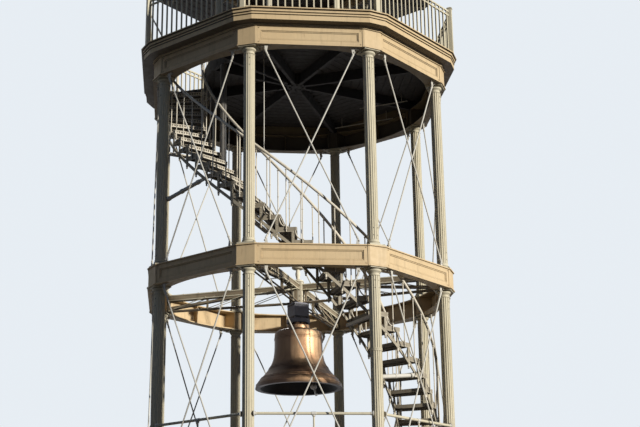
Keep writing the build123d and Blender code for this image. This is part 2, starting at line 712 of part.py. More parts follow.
def make_clapper():
    eye = Plane.XZ * extrude(Circle(EYE_RADIUS), EYE_WIDTH / 2, both=True)
    shank = Pos(0, 0, -BALL_BELOW_PIVOT) * extrude(Circle(CLAPPER_SHANK), BALL_BELOW_PIVOT - EYE_RADIUS / 2)
    ball = Pos(0, 0, -BALL_BELOW_PIVOT) * Sphere(CLAPPER_BALL)
    tail = Pos(0, 0, -CLAPPER_LENGTH) * extrude(Circle(CLAPPER_TAIL), CLAPPER_LENGTH - BALL_BELOW_PIVOT)
    hole = Plane.XZ * extrude(Circle(PIN_RADIUS + EYE_CLEARANCE), EYE_WIDTH, both=True)
    # A wire holds it aside, so it rests leaning to the right about its pin.
    return Pos(0, 0, MOUTH + PIVOT_ABOVE_MOUTH) * Rot(0, -CLAPPER_LEAN, 0) * (eye + shank + ball + tail - hole)


save("clapper", [make_clapper()])

# Deck framing under the plates: a hub, ribs to the columns and joists beside the well
frame_low = LEVELS[2]
frame_high = DECK_TOP - DECK_PLATE
bed_limit = plan_prism(chamfered_octagon(CORNICE_FACE - CORNICE_BED + SEAT_GAP), frame_low, frame_high)


def make_rib(start, end):
    half = RIB_WIDTH / 2
    return plan_prism([(-half, -start), (half, -start), (half, -end), (-half, -end)],
                      frame_low, frame_high)


trimmer_inner = WELL_INNER - TRIMMER_WIDTH
beside_well = degrees((RIB_WIDTH / 2 + FRAME_CLEARANCE) / WELL_INNER)
well_joists = (STAIR_TOP_ANGLE - beside_well, WELL_END_ANGLE + beside_well)
clear_hub = HUB_RADIUS + FRAME_CLEARANCE
framing = [Pos(0, 0, frame_low) * extrude(Circle(HUB_RADIUS), frame_high - frame_low)]
for angle in COLUMN_ANGLES:
    turn = angle - 360
    if turn == STAIR_TOP_ANGLE:
        continue
    inside_well = STAIR_TOP_ANGLE < turn < WELL_END_ANGLE
    end = trimmer_inner - FRAME_CLEARANCE if inside_well else CORNICE_FACE
    framing.append(at_angle(make_rib(clear_hub, end), angle) & bed_limit)
for angle in well_joists:
    framing.append(at_angle(make_rib(clear_hub + RIB_WIDTH, CORNICE_FACE), angle) & bed_limit)
save("deck_ribs", framing)

rib_side = degrees((RIB_WIDTH / 2 + FRAME_CLEARANCE) / trimmer_inner)
save("deck_trimmer", [wedge(well_joists[0] + rib_side, well_joists[1] - rib_side, trimmer_inner,
                            WELL_INNER, frame_low, frame_high)])

# Deck plates, with the stairwell left open between the ribs on the left side
deck_outline = plan_prism(chamfered_octagon(CORNICE_FACE - CORNICE_INNER + SEAT_GAP),
                          frame_high, DECK_TOP)
spans = [(-22.5, 22.5), (22.5, 67.5), (67.5, 112.5), (112.5, 157.5), (157.5, 202.5),
         (-157.5, STAIR_TOP_ANGLE), (WELL_END_ANGLE, -22.5)]
plates = [wedge(first, last, 0, CORNICE_NOSE, frame_high, DECK_TOP) & deck_outline
          for first, last in spans]
plates.append(wedge(STAIR_TOP_ANGLE, WELL_END_ANGLE, 0, WELL_INNER, frame_high, DECK_TOP))
save("deck_plates", plates)
edge_spans = ((STAIR_TOP_ANGLE, -67.5), (-67.5, WELL_END_ANGLE))
save("deck_edge_plates", [wedge(first, last, WELL_OUTER, CORNICE_NOSE, frame_high, DECK_TOP) & deck_outline
                          for first, last in edge_spans])

# Stepped cornice round the deck: (inwards from the face, up from the girders)
CORNICE_MOULDING = [(50, 22), (50, 98), (64, 102), (64, 112), (40, 116), (40, 136), (52, 140), (52, 150),
                    (26, 156), (26, 188), (40, 196), (40, 204), (0, 208), (0, DECK_RISE)]


def cornice_length(shift, half):
    bed = GIRDER_FACE + LIP_OUT
    under = DECK_RISE - DECK_PLATE
    profile = [(CORNICE_BED, 0), (bed, 0), (bed, CORNICE_MOULDING[0][1])]
    profile += [(CORNICE_FACE - inwards, up) for inwards, up in CORNICE_MOULDING]
    profile += [(CORNICE_INNER, DECK_RISE), (CORNICE_INNER, under), (CORNICE_BED, under)]
    corners = [(-out - shift, up + LEVELS[2]) for out, up in profile]
    face = make_face(Plane.YZ * Polyline(*corners, close=True))
    bar = Pos(-SIDE, 0, 0) * extrude(face, 2 * SIDE, dir=(1, 0, 0))
    mitre = tan(A / 2)
    front = CORNICE_FACE + shift
    ends = []
    for out in (CORNICE_BED + shift - 1, front + 1):
        ends.append((half - SEAT_GAP / 2 + (out - front) * mitre, -out))
    outline = ends + [(-across, out) for across, out in reversed(ends)]
    return bar & plan_prism(outline, LEVELS[2], DECK_TOP)


cornice_side_half = (CORNICE_NOSE - CORNICE_FACE * cos(A)) / sin(A)
long_length = cornice_length(0, cornice_side_half)
short_length = cornice_length(CORNICE_NOSE - CORNICE_FACE, CORNICE_NOSE_HALF)
save("deck_cornice", [at_angle(long_length, angle) for angle in BAY_ANGLES]
     + [at_angle(short_length, angle) for angle in COLUMN_ANGLES])

# Deck railing
post_height = RAILING_HEIGHT + 2 * RAILING_BAR
post = Pos(0, -POST_RING, DECK_TOP + post_height / 2) * Box(POST_SIZE, POST_SIZE, post_height)
save("deck_railing_posts", [at_angle(post, angle) for angle in COLUMN_ANGLES])


def make_railing_panel():
    line = POST_RING * cos(A)
    # The square post stands turned by half a step, so its face meets the rail at a slant.
    post_reach = (POST_SIZE / 2 + RAILING_BAR / 2 * sin(A)) / cos(A)
    half = POST_RING * sin(A) - post_reach - SEAT_GAP
    bar = RAILING_BAR / 2
    size = BALUSTER_SIZE / 2
    top = DECK_TOP + RAILING_HEIGHT
    foot = DECK_TOP + 2 * RAILING_BAR
    pieces = [side_prism(rectangle(half, high - RAILING_BAR, high), line - bar, line + bar)
              for high in (top, top - SECOND_RAIL_DROP, foot)]
    pitch = 2 * half / BALUSTERS_A_SIDE
    upright = side_prism(rectangle(size, foot - bar, top - bar), line - size, line + size)
    for index in range(BALUSTERS_A_SIDE):
        pieces.append(Pos((index + 0.5) * pitch - half, 0, 0) * upright)
    panel = pieces[0]
    for piece in pieces[1:]:
        panel += piece
    return panel


panel = make_railing_panel()
save("deck_railing_panels", [at_angle(panel, angle) for angle in BAY_ANGLES])

# Open cab with eight slender columns under a ring of beams
beam_low = DECK_TOP + CAB_HEIGHT - CAB_BEAM_HEIGHT
beam_high = DECK_TOP + CAB_HEIGHT
collar = extrude(Circle(CAB_COLUMN_RADIUS + CAB_COLLAR), CAB_COLLAR_HEIGHT)
shaft_low = CAB_COLLAR_HEIGHT + SEAT_GAP
shaft_top = CAB_HEIGHT - CAB_BEAM_HEIGHT - CAB_COLLAR_HEIGHT - SEAT_GAP
cab_shaft = Pos(0, 0, shaft_low) * extrude(Circle(CAB_COLUMN_RADIUS), shaft_top - shaft_low)
cab_column = [collar, cab_shaft, Pos(0, 0, shaft_top + SEAT_GAP) * collar]
save("cab_columns", [at_angle(Pos(0, -CAB_RING, DECK_TOP) * piece, angle)
                     for angle in COLUMN_ANGLES for piece in cab_column])

near = CAB_RING * cos(A) - CAB_BEAM_WIDTH / 2
far = near + CAB_BEAM_WIDTH
mitre_gap = SEAT_GAP / 2 / cos(A)
near_half = near * tan(A) - mitre_gap
far_half = far * tan(A) - mitre_gap
cab_beam = plan_prism([(-near_half, -near), (near_half, -near), (far_half, -far), (-far_half, -far)],
                      beam_low, beam_high)
save("cab_ring_beams", [at_angle(cab_beam, angle) for angle in BAY_ANGLES])

# Low octagonal roof with a boarded soffit, a fascia, a cap and a finial
save("roof_soffit", [Pos(0, 0, beam_high) * extrude(octagon(EAVES_FACE), SOFFIT_THICKNESS)])
eaves_low = beam_high + SOFFIT_THICKNESS
save("roof_eaves", [Pos(0, 0, eaves_low) * extrude(octagon(EAVES_FACE + FASCIA_OUT), FASCIA_HEIGHT)])
roof_low = eaves_low + FASCIA_HEIGHT
cap_low = roof_low + ROOF_RISE
slopes = loft([Pos(0, 0, roof_low) * octagon(EAVES_FACE), Pos(0, 0, cap_low) * octagon(ROOF_TOP_HALF)],
              ruled=True)
save("roof", [slopes])
save("roof_cap", [Pos(0, 0, cap_low) * extrude(octagon(ROOF_TOP_HALF + CAP_OUT), CAP_HEIGHT)])

# Finial outline: a foot, a turned ball and a spike, as (radius, up)
FINIAL_FOOT = [(0, 0), (110, 0), (110, 24), (60, 40), (38, 80)]
FINIAL_BALL = [(38, 80), (80, 132), (30, 184)]
FINIAL_SPIKE = [(30, 184), (14, 200), (4, FINIAL_HEIGHT), (0, FINIAL_HEIGHT), (0, 0)]
spire = Polyline(*FINIAL_FOOT) + Spline(*FINIAL_BALL, tangents=[(1, 0.5), (-1, 0.6)])
spire += Polyline(*FINIAL_SPIKE)
save("roof_finial", [Pos(0, 0, cap_low + CAP_HEIGHT) * revolve(make_face(Plane.XZ * spire), Axis.Z)])
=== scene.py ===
from math import cos, degrees, pi, radians, sin, sqrt, tan

import bmesh
import bpy
from mathutils import Matrix, Vector


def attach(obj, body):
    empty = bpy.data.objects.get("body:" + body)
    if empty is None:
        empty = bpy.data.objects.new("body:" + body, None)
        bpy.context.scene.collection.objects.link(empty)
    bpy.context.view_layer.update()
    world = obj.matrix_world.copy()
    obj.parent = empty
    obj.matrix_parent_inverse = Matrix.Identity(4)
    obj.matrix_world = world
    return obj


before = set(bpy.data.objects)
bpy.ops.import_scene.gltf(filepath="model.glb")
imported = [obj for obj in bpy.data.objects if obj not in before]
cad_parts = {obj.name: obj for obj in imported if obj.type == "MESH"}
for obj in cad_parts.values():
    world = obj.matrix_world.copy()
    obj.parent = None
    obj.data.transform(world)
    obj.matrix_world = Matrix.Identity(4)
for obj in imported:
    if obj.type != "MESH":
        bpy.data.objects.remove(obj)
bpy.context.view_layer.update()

# Sizes in metres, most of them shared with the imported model. Plan angles run from
# the front side (-Y) towards +X, so columns stand at odd multiples of 22.5 degrees.
SIDE = 1.96
TIER = 3.695
LEVELS = (TIER, 2 * TIER, 3 * TIER)
FOOTING_HALF = 0.172
FOOTING_HEIGHT = 0.150
ANCHOR_RING = 0.150
FLOORS = (FOOTING_HEIGHT, LEVELS[0], LEVELS[1])
HALF_STEP = 22.5
HALF = radians(HALF_STEP)
COLUMN_RING = SIDE / 2 / sin(HALF)
COLUMN_LINE = SIDE / 2 / tan(HALF)
COLUMN_ANGLES = [HALF_STEP + 45 * k for k in range(8)]
BAY_ANGLES = [45 * k for k in range(8)]
SHAFT_RADIUS = 0.092
PLINTH_HALF = 0.146
PLINTH_HEIGHT = 0.030
SPLICE_HEIGHT = 5.762
GIRDER_HEIGHT = 0.34
GIRDER_FACE = COLUMN_LINE + 0.184
GIRDER_HALF = 0.867
PANEL_SIDE = 0.062
PANEL_TOP = 0.088
PANEL_STEP = 0.018
PANEL_INSET = 0.010
ROD_LINE = COLUMN_LINE + 0.128
ROD_SPLIT = 0.032
ROD_ACROSS = SIDE / 2 - 0.265
LUG_HEIGHT = 0.110
LUG_THICKNESS = 0.022
DECK_TOP = LEVELS[2] + 0.225
DECK_PLATE = 0.030
DECK_UNDER = DECK_TOP - DECK_PLATE
RIB_HALF = 0.030
RISERS = 53
STEPS = range(1, RISERS)
RISE = 0.2138
FOOT_STEP = 0.026
STEP_ANGLE = 6.244
STAIR_TOP_ANGLE = -112.5
NOSING = 0.7
TREAD_OUTER = 2.348
TREAD_INNER = 1.690
TREAD_THICKNESS = 0.060
STRINGER_THICKNESS = 0.020
STRINGER_DEPTH = 0.304
STRINGER_POST = 0.044
RAIL_HEIGHT = 0.892
RAIL_RADIUS = 0.022
INNER_RAIL_RING = TREAD_INNER + 0.032
OUTER_RAIL_RING = TREAD_OUTER + 0.010
NEWEL_HEIGHT = 1.120
NEWEL_RADIUS = 0.026
SEAT_GAP = 0.0003
LOWEST_DROP = 0.1
LOWEST_BOLT = 0.05
HANGER_ROD_ANGLE = -23.6
STRUT_COLUMNS = (-67.5, 22.5, 67.5, 112.5, 157.5)
STRUT_REACH = 21.5
STRUT_DEPTH = 0.060
STRUT_RISE = 0.166
LOW_RAIL_HEIGHT = 1.085
LOW_RAIL_RING = COLUMN_LINE + 0.068
BEAM_ANGLES = (-22.5, 67.5, 157.5, -112.5)
BEAM_TOP = LEVELS[1] - 0.024
BEAM_DEPTH = 0.110
BEAM_HALF = 0.048
BEAM_INNER = 0.095
BEAM_END = 2.463
BEAM_POSTS = (0.02, 0.34, 0.67, 0.98)
LACINGS = 16
CHORD_LOW = LEVELS[1] - 0.346
CHORD_END = LEVELS[1] - 0.310
YOKE_BOTTOM = LEVELS[1] - 0.361
HEADSTOCK_HALF = 0.138
HEADSTOCK_ANGLE = 22.5
HEADSTOCK_HEIGHT = 0.283
HEADSTOCK_LOW = YOKE_BOTTOM - HEADSTOCK_HEIGHT
SCREW_TOP = LEVELS[1] + 0.321
DISC_RADIUS = 0.204
DISC_LOW = HEADSTOCK_LOW - 0.068
BELL_HEIGHT = 1.106
MOUTH = DISC_LOW - 0.020 - BELL_HEIGHT
BELL_REACH = 1.2
# Plan angle of the bell's lit side, where its painted shade is least.
LIT_SIDE_ANGLE = 22
CORNICE_FACE = COLUMN_LINE + 0.42
WELL_BAYS = (270, 315)
WELL_NEAR = 1.55
WELL_FAR = 2.49
WELL_RIB = 292.5
WELL_RIB_END = 1.2
# Ends of the pipes under the deck, in plan.
PIPE_RUNS = (((1.30, 0.92), (2.14, 0.47)), ((0.95, 1.98), (2.02, 1.36)))
POST_RING = 2.890
POST_HALF = 0.0375
RAILING_HEIGHT = 0.86
RAILING_BAR = 0.026
SECOND_RAIL_DROP = 0.080
LOW_BAR_TOP = 0.052
POST_OVER_RAIL = 0.052
BALUSTERS_A_SIDE = 18
CAB_RING = 1.55
CAB_HEIGHT = 2.044
CAB_COLUMN_RADIUS = 0.052
CAB_BEAM_HEIGHT = 0.160
CAB_BRACKET = 0.30
EAVES_FACE = COLUMN_LINE + 0.343
FASCIA_OUT = 0.045
FASCIA_HEIGHT = 0.110
SOFFIT_LOW = DECK_TOP + CAB_HEIGHT
EAVES_LOW = SOFFIT_LOW + 0.040
ROOF_LOW = EAVES_LOW + FASCIA_HEIGHT
ROOF_RISE = 0.480
ROOF_TOP_HALF = 0.190


# ---- mesh helpers
def plan_point(angle, radius, z):
    a = radians(angle)
    return Vector((radius * sin(a), -radius * cos(a), z))


def bay_point(angle, across, out, z):
    """A point of one side of the octagon: across along the side, out from the axis."""
    a = radians(angle)
    return Vector((out * sin(a) + across * cos(a), -out * cos(a) + across * sin(a), z))


def turned(angle, out=0.0, z=0.0):
    """Places a shape made about the origin at a plan angle, out from the axis."""
    return Matrix.Rotation(radians(angle), 4, "Z") @ Matrix.Translation((0, -out, z))


def facing(point, direction):
    """Stands a shape on a point, its own Z along the direction."""
    turn = Vector(direction).to_track_quat("Z", "Y").to_matrix().to_4x4()
    return Matrix.Translation(Vector(point)) @ turn


def circle(radius, sides):
    turns = [2 * pi * k / sides for k in range(sides)]
    return [(radius * cos(a), radius * sin(a)) for a in turns]


def quarter_arc(steps):
    """A quarter circle from upright to level, as shares of its run and of its rise."""
    turns = [pi / 2 * k / steps for k in range(steps + 1)]
    return [(1 - cos(a), 1 - sin(a)) for a in turns]


HERE = Matrix.Identity(4)


class Shape:
    """Collects many small solids into one mesh."""

    def __init__(self):
        self.bm = bmesh.new()

    def loop_stack(self, rings, at=HERE):
        """Joins rings of equal length into a skin, capped at both ends."""
        rows = [[self.bm.verts.new(at @ Vector(p)) for p in ring] for ring in rings]
        count = len(rows[0])
        for low, high in zip(rows, rows[1:]):
            for i in range(count):
                j = (i + 1) % count
                self.bm.faces.new((low[i], low[j], high[j], high[i]))
        self.bm.faces.new(list(reversed(rows[0])))
        self.bm.faces.new(rows[-1])

    def soft_box(self, low, high, edge, at=HERE):
        """A box with its vertical corners and top and bottom edges taken off."""
        x0, y0, z0 = low
        x1, y1, z1 = high

        def outline(inset, z):
            e = edge
            a0, b0, a1, b1 = x0 + inset, y0 + inset, x1 - inset, y1 - inset
            return [(a0 + e, b0, z), (a1 - e, b0, z), (a1, b0 + e, z), (a1, b1 - e, z),
                    (a1 - e, b1, z), (a0 + e, b1, z), (a0, b1 - e, z), (a0, b0 + e, z)]

        self.loop_stack([outline(edge, z0), outline(0, z0 + edge), outline(0, z1 - edge),
                         outline(edge, z1)], at)

    def lathe(self, profile, at=HERE, sides=24):
        """profile is (radius, z) from bottom to top; ends are capped."""
        rings = [[(x, y, z) for x, y in circle(radius, sides)] for radius, z in profile]
        self.loop_stack(rings, at)

    def bar(self, start, end, radius, sides=10):
        along = Vector(end) - Vector(start)
        self.lathe([(radius, 0), (radius, along.length)], facing(start, along), sides)

    def pipe(self, points, radius, sides=10):
        """A round pipe along a line of points, mitred at each."""
        points = [Vector(p) for p in points]
        rings = []
        up = Vector((0, 0, 1))
        for i, point in enumerate(points):
            before = points[max(i - 1, 0)]
            after = points[min(i + 1, len(points) - 1)]
            along = (after - before).normalized()
            side = along.cross(up)
            side = side.normalized() if side.length > 1e-4 else Vector((1, 0, 0))
            over = side.cross(along).normalized()
            rings.append([point + side * x + over * y for x, y in circle(radius, sides)])
        self.loop_stack(rings)

    def torus(self, ring, radius, at=HERE, around=48, sides=10):
        rows = []
        for c, s in circle(1, around):
            rows.append([self.bm.verts.new(at @ Vector(((ring + x) * c, (ring + x) * s, y)))
                         for x, y in circle(radius, sides)])
        for i in range(around):
            near, far = rows[i], rows[(i + 1) % around]
            for k in range(sides):
                m = (k + 1) % sides
                self.bm.faces.new((near[k], far[k], far[m], near[m]))

    def bolt(self, point, outwards, radius=0.012, height=0.009):
        """A six-sided bolt head on a washer."""
        at = facing(point, outwards)
        self.lathe([(radius * 1.5, -0.004), (radius * 1.5, height * 0.3)], at, 12)
        self.lathe([(radius, 0), (radius, height), (radius * 0.8, height * 1.25)], at, 6)

    def ball(self, point, radius, sides=10, rings=6):
        profile = [(max(radius * sin(pi * k / rings), radius * 0.06), -radius * cos(pi * k / rings))
                   for k in range(rings + 1)]
        self.lathe(profile, Matrix.Translation(Vector(point)), sides)

    def collar(self, point, radius, grow, height, sides=10):
        """A rounded ring round an upright bar."""
        profile = [(radius, -height / 2), (radius + grow, -height / 4), (radius + grow, height / 4),
                   (radius, height / 2)]
        self.lathe(profile, Matrix.Translation(Vector(point)), sides)

    def beam(self, start, end, width, depth, up=(0, 0, 1)):
        """A square-edged bar between two points."""
        start, end = Vector(start), Vector(end)
        along = (end - start).normalized()
        side = along.cross(Vector(up)).normalized() * width / 2
        over = side.cross(along).normalized() * depth / 2
        self.loop_stack([[p - side - over, p + side - over, p + side + over, p - side + over]
                         for p in (start, end)])

    def object(self, name, material, slot, smooth):
        """Makes the piece. Edges sharper than smooth, in degrees, stay sharp."""
        bmesh.ops.recalc_face_normals(self.bm, faces=self.bm.faces)
        mesh = bpy.data.meshes.new(name)
        self.bm.to_mesh(mesh)
        self.bm.free()
        piece = bpy.data.objects.new(name, mesh)
        bpy.context.scene.collection.objects.link(piece)
        mesh.materials.append(material)
        mesh.shade_smooth()
        mesh.set_sharp_from_angle(angle=radians(smooth))
        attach(piece, "tower")


# ---- materials
def add_node(tree, kind, sockets, **settings):
    """Adds a node with its settings, and a wire or a value for each named or numbered socket."""
    node = tree.nodes.new(kind)
    for name, value in settings.items():
        setattr(node, name, value)
    for key, value in sockets.items():
        if isinstance(value, bpy.types.NodeSocket):
            tree.links.new(value, node.inputs[key])
        else:
            node.inputs[key].default_value = value
    return node


class Nodes:
    """A short way to wire a procedural material."""

    def __init__(self, name):
        self.material = bpy.data.materials.new(name)
        self.material.use_nodes = True
        self.tree = self.material.node_tree
        self.shader = self.tree.nodes["Principled BSDF"]
        self.place = self.tree.nodes.new("ShaderNodeTexCoord").outputs["Object"]

    def add(self, kind, sockets, **settings):
        return add_node(self.tree, kind, sockets, **settings)

    def noise(self, scale, detail=3.0, roughness=0.5, stretch=None):
        where = self.place
        if stretch:
            mapping = self.add("ShaderNodeMapping", {"Vector": where, "Scale": stretch})
            where = mapping.outputs["Vector"]
        return self.add("ShaderNodeTexNoise", {"Vector": where, "Scale": scale, "Detail": detail,
                                               "Roughness": roughness}).outputs["Fac"]

    def ramp(self, value, low, high, start=0.0, end=1.0):
        return self.add("ShaderNodeMapRange", {"Value": value, "From Min": low, "From Max": high,
                                               "To Min": start, "To Max": end}).outputs["Result"]

    def times(self, one, other):
        return self.add("ShaderNodeMath", {0: one, 1: other}, operation="MULTIPLY").outputs[0]

    def mix(self, amount, one, other):
        # A colour mix has its factor in socket 0 and its two colours in 6 and 7.
        return self.add("ShaderNodeMix", {0: amount, 6: one, 7: other}, data_type="RGBA").outputs[2]

    def axis(self, socket, name):
        return self.add("ShaderNodeSeparateXYZ", {0: socket}).outputs[name]

    def normal(self):
        return self.add("ShaderNodeNewGeometry", {}).outputs["Normal"]

    def vector(self, operation, output, *values):
        node = self.add("ShaderNodeVectorMath", dict(enumerate(values)), operation=operation)
        return node.outputs[output]

    def outwards(self):
        """1 on faces that look away from the tower's axis, -1 on faces that look at it."""
        flat = self.vector("MULTIPLY", "Vector", self.place, (1, 1, 0))
        away = self.vector("NORMALIZE", "Vector", flat)
        return self.vector("DOT_PRODUCT", "Value", self.normal(), away)

    def towards(self, direction):
        """How far the faces look in one direction."""
        return self.vector("DOT_PRODUCT", "Value", self.normal(), direction)

    def crevices(self, distance):
        return self.add("ShaderNodeAmbientOcclusion", {"Distance": distance}, samples=6,
                        only_local=False).outputs["AO"]

    def bump(self, *layers):
        """layers are (height socket, strength, distance); each rides on the last."""
        below = {}
        for height, strength, distance in layers:
            node = self.add("ShaderNodeBump",
                            {"Height": height, "Strength": strength, "Distance": distance, **below})
            below = {"Normal": node.outputs["Normal"]}
        self.tree.links.new(below["Normal"], self.shader.inputs["Normal"])

    def finish(self, color, rough, metallic=0.0, gloss=0.5):
        self.tree.links.new(color, self.shader.inputs["Base Color"])
        self.tree.links.new(rough, self.shader.inputs["Roughness"])
        self.shader.inputs["Metallic"].default_value = metallic
        self.shader.inputs["Specular IOR Level"].default_value = gloss
        return self.material


def rgb(r, g, b):
    return (r, g, b, 1.0)


RUST = rgb(0.16, 0.055, 0.02)
# A dark brown for real soot, used also for painted shade.
SOOT_AND_SHADE = rgb(0.045, 0.038, 0.03)


def painted_iron(name, base, pale, dull, wear=1.0, grime_and_shade=0.6, rough=0.52, inner=0.0, under=0.45):
    """Brushed oil paint on cast iron: mottled, streaked by rain, chipped to rust.

    inner and under say how far painted shade darkens the faces to the axis and the undersides.
    """
    n = Nodes(name)
    base, pale, dull = rgb(*base), rgb(*pale), rgb(*dull)
    tone = n.ramp(n.noise(0.9, 3.0), 0.35, 0.68)
    fine = n.ramp(n.noise(14.0, 4.0, 0.6), 0.3, 0.7)
    color = n.mix(n.times(tone, 0.75), base, pale)
    color = n.mix(n.times(fine, 0.22), color, dull)
    # Rain streaks run down the faces.
    streak = n.ramp(n.noise(3.2, 4.0, 0.55, (4.0, 4.0, 0.28)), 0.52, 0.74)
    color = n.mix(n.times(streak, 0.30 * grime_and_shade), color, SOOT_AND_SHADE)
    # Painted shade: darker in corners and crevices, and on undersides.
    corner = n.ramp(n.crevices(0.09), 0.35, 0.92, 1.0, 0.0)
    color = n.mix(n.times(corner, 0.6 * grime_and_shade), color, SOOT_AND_SHADE)
    below = n.ramp(n.axis(n.normal(), "Z"), -0.3, -0.95)
    color = n.mix(n.times(below, under), color, SOOT_AND_SHADE)
    # Painted shade on the faces that look at the tower's axis.
    if inner:
        color = n.mix(n.times(n.ramp(n.outwards(), 0.25, -0.25), inner), color, SOOT_AND_SHADE)
    chips = n.ramp(n.noise(7.5, 9.0, 0.72), 0.735, 0.75)
    bleed = n.ramp(n.noise(6.0, 6.0, 0.62, (2.2, 2.2, 0.35)), 0.655, 0.75)
    color = n.mix(n.times(bleed, 0.30 * wear), color, RUST)
    color = n.mix(n.times(chips, 0.9 * wear), color, RUST)
    brush = n.noise(60.0, 3.0, 0.6, (1.0, 1.0, 0.22))
    n.bump((n.noise(38.0, 5.0, 0.6), 0.16, 0.004), (brush, 0.12, 0.0015),
           (chips, 0.35 * wear, -0.0012))
    return n.finish(color, n.ramp(fine, 0.0, 1.0, rough - 0.06, rough + 0.16), gloss=0.16)


def bare_iron(name, base, rusty, rough):
    """Iron without paint: rusty patches over a finely pitted skin."""
    n = Nodes(name)
    base, rusty = rgb(*base), rgb(*rusty)
    patches = n.ramp(n.noise(4.0, 6.0, 0.65), 0.45, 0.7)
    fine = n.noise(42.0, 5.0, 0.65)
    color = n.mix(patches, base, rusty)
    color = n.mix(n.ramp(fine, 0.55, 0.8, 0.0, 0.5), color, SOOT_AND_SHADE)
    n.bump((fine, 0.3, 0.003), (n.noise(9.0, 4.0), 0.2, 0.006))
    roughness = n.ramp(fine, 0.2, 0.8, rough - 0.1, rough + 0.12)
    return n.finish(color, roughness, metallic=0.15, gloss=0.3)


def bell_bronze(name):
    """Cast bronze: clouded copper and gold with brown drips; painted shade darkens the unlit side.

    Heights of its bands are above the bell's mouth, and the lit angle is the plan angle of the lit
    side.
    """
    n = Nodes(name)
    height = n.axis(n.place, "Z")
    cloud = n.noise(2.6, 5.0, 0.6)
    drip = n.ramp(n.noise(3.0, 5.0, 0.6, (3.4, 3.4, 0.35)), 0.42, 0.66)
    turned_lines = n.noise(2.0, 3.0, 0.5, (0.4, 0.4, 46.0))
    copper = rgb(0.50, 0.26, 0.13)
    gold = rgb(0.70, 0.46, 0.25)
    brown = rgb(0.045, 0.030, 0.024)
    color = n.mix(n.ramp(cloud, 0.35, 0.65), copper, gold)
    color = n.mix(n.times(drip, 0.4), color, brown)
    # Painted shade and painted dark reflection: faces turned away from the lit angle go brown.
    painted_dark_side = n.ramp(n.towards(plan_point(LIT_SIDE_ANGLE, 1, 0)), 0.84, 0.68)
    color = n.mix(n.times(painted_dark_side, 0.92), color, brown)
    band = n.times(n.ramp(height, MOUTH + 0.22, MOUTH + 0.28),
                   n.ramp(height, MOUTH + 0.46, MOUTH + 0.34))
    color = n.mix(n.times(band, 0.75), color, brown)
    lip = n.ramp(height, MOUTH + 0.06, MOUTH + 0.02)
    color = n.mix(n.times(lip, 0.8), color, brown)
    # Painted shade: the inside of the bell is near black.
    shaded_inside = n.ramp(n.outwards(), 0.05, -0.05)
    color = n.mix(n.times(shaded_inside, 0.99), color, rgb(0.004, 0.004, 0.004))
    n.bump((turned_lines, 0.10, 0.002), (n.noise(24.0, 5.0, 0.6), 0.10, 0.002))
    return n.finish(color, n.ramp(cloud, 0.3, 0.7, 0.40, 0.56), metallic=0.7, gloss=0.15)


# In these paints, inner and under set painted shade on faces to the axis and on undersides; the
# grime value also sets painted shade in corners.
tan_paint = painted_iron("tan_paint", (0.63, 0.45, 0.235), (0.70, 0.52, 0.29), (0.45, 0.33, 0.19))
upper_paint = painted_iron("upper_paint", (0.60, 0.43, 0.225), (0.67, 0.50, 0.28),
                           (0.42, 0.31, 0.18), inner=0.93)
cornice_paint = painted_iron("cornice_paint", (0.60, 0.43, 0.225), (0.67, 0.50, 0.28),
                             (0.40, 0.30, 0.17), inner=0.6, under=0.9)
khaki_paint = painted_iron("khaki_paint", (0.60, 0.52, 0.345), (0.68, 0.60, 0.42),
                           (0.42, 0.37, 0.26), wear=0.8)
cream_paint = painted_iron("cream_paint", (0.76, 0.66, 0.47), (0.80, 0.72, 0.54),
                           (0.60, 0.51, 0.36), wear=0.5, grime_and_shade=0.4)
rod_paint = painted_iron("rod_paint", (0.62, 0.57, 0.46), (0.68, 0.63, 0.52),
                         (0.40, 0.35, 0.27), wear=1.2, grime_and_shade=0.5)
stair_paint = painted_iron("stair_paint", (0.70, 0.61, 0.45), (0.78, 0.69, 0.53),
                           (0.44, 0.38, 0.28), wear=1.2, grime_and_shade=0.8, under=0.85)
# A darkened copy of the stair paint: painted shade on the treads, darkest underneath.
tread_shade_paint = painted_iron("tread_shade_paint", (0.30, 0.25, 0.17), (0.38, 0.32, 0.22),
                           (0.16, 0.13, 0.10), wear=1.4, grime_and_shade=1.2, rough=0.55, under=0.95)
dark_paint = painted_iron("dark_paint", (0.16, 0.145, 0.12), (0.20, 0.18, 0.15),
                          (0.09, 0.08, 0.07), wear=1.0, grime_and_shade=1.0, rough=0.55, under=0.9)
# Near black: painted shade on the deck and its underside.
deck_shade_black = painted_iron("deck_shade_black", (0.020, 0.018, 0.017), (0.030, 0.027, 0.025),
                         (0.014, 0.012, 0.011), wear=0.3, grime_and_shade=0.5, rough=0.7)
# Near black brown: painted shade under the roof.
soffit_shade_dark = painted_iron("soffit_shade_dark", (0.046, 0.037, 0.031), (0.060, 0.048, 0.040),
                         (0.030, 0.024, 0.020), wear=0.4, grime_and_shade=0.7, rough=0.6)
roof_sheet = painted_iron("roof_sheet", (0.17, 0.115, 0.085), (0.20, 0.14, 0.105),
                          (0.10, 0.07, 0.055), wear=1.0, grime_and_shade=0.8, rough=0.62)
floor_board = painted_iron("floor_board", (0.16, 0.135, 0.105), (0.21, 0.18, 0.145),
                           (0.09, 0.078, 0.062), wear=0.3, grime_and_shade=0.8, rough=0.7)
black_iron = bare_iron("black_iron", (0.030, 0.028, 0.027), (0.06, 0.04, 0.028), 0.5)
grey_iron = bare_iron("grey_iron", (0.17, 0.16, 0.17), (0.12, 0.105, 0.105), 0.6)
# Pale iron for the clapper: worn bright by striking, and paler still as a painted highlight.
worn_iron_with_highlight = bare_iron("worn_iron_with_highlight", (0.60, 0.58, 0.55), (0.34, 0.28, 0.24), 0.42)
string_paint = painted_iron("string_paint", (0.36, 0.305, 0.21), (0.43, 0.37, 0.26),
                            (0.20, 0.17, 0.12), wear=1.3, grime_and_shade=1.0, under=0.9)
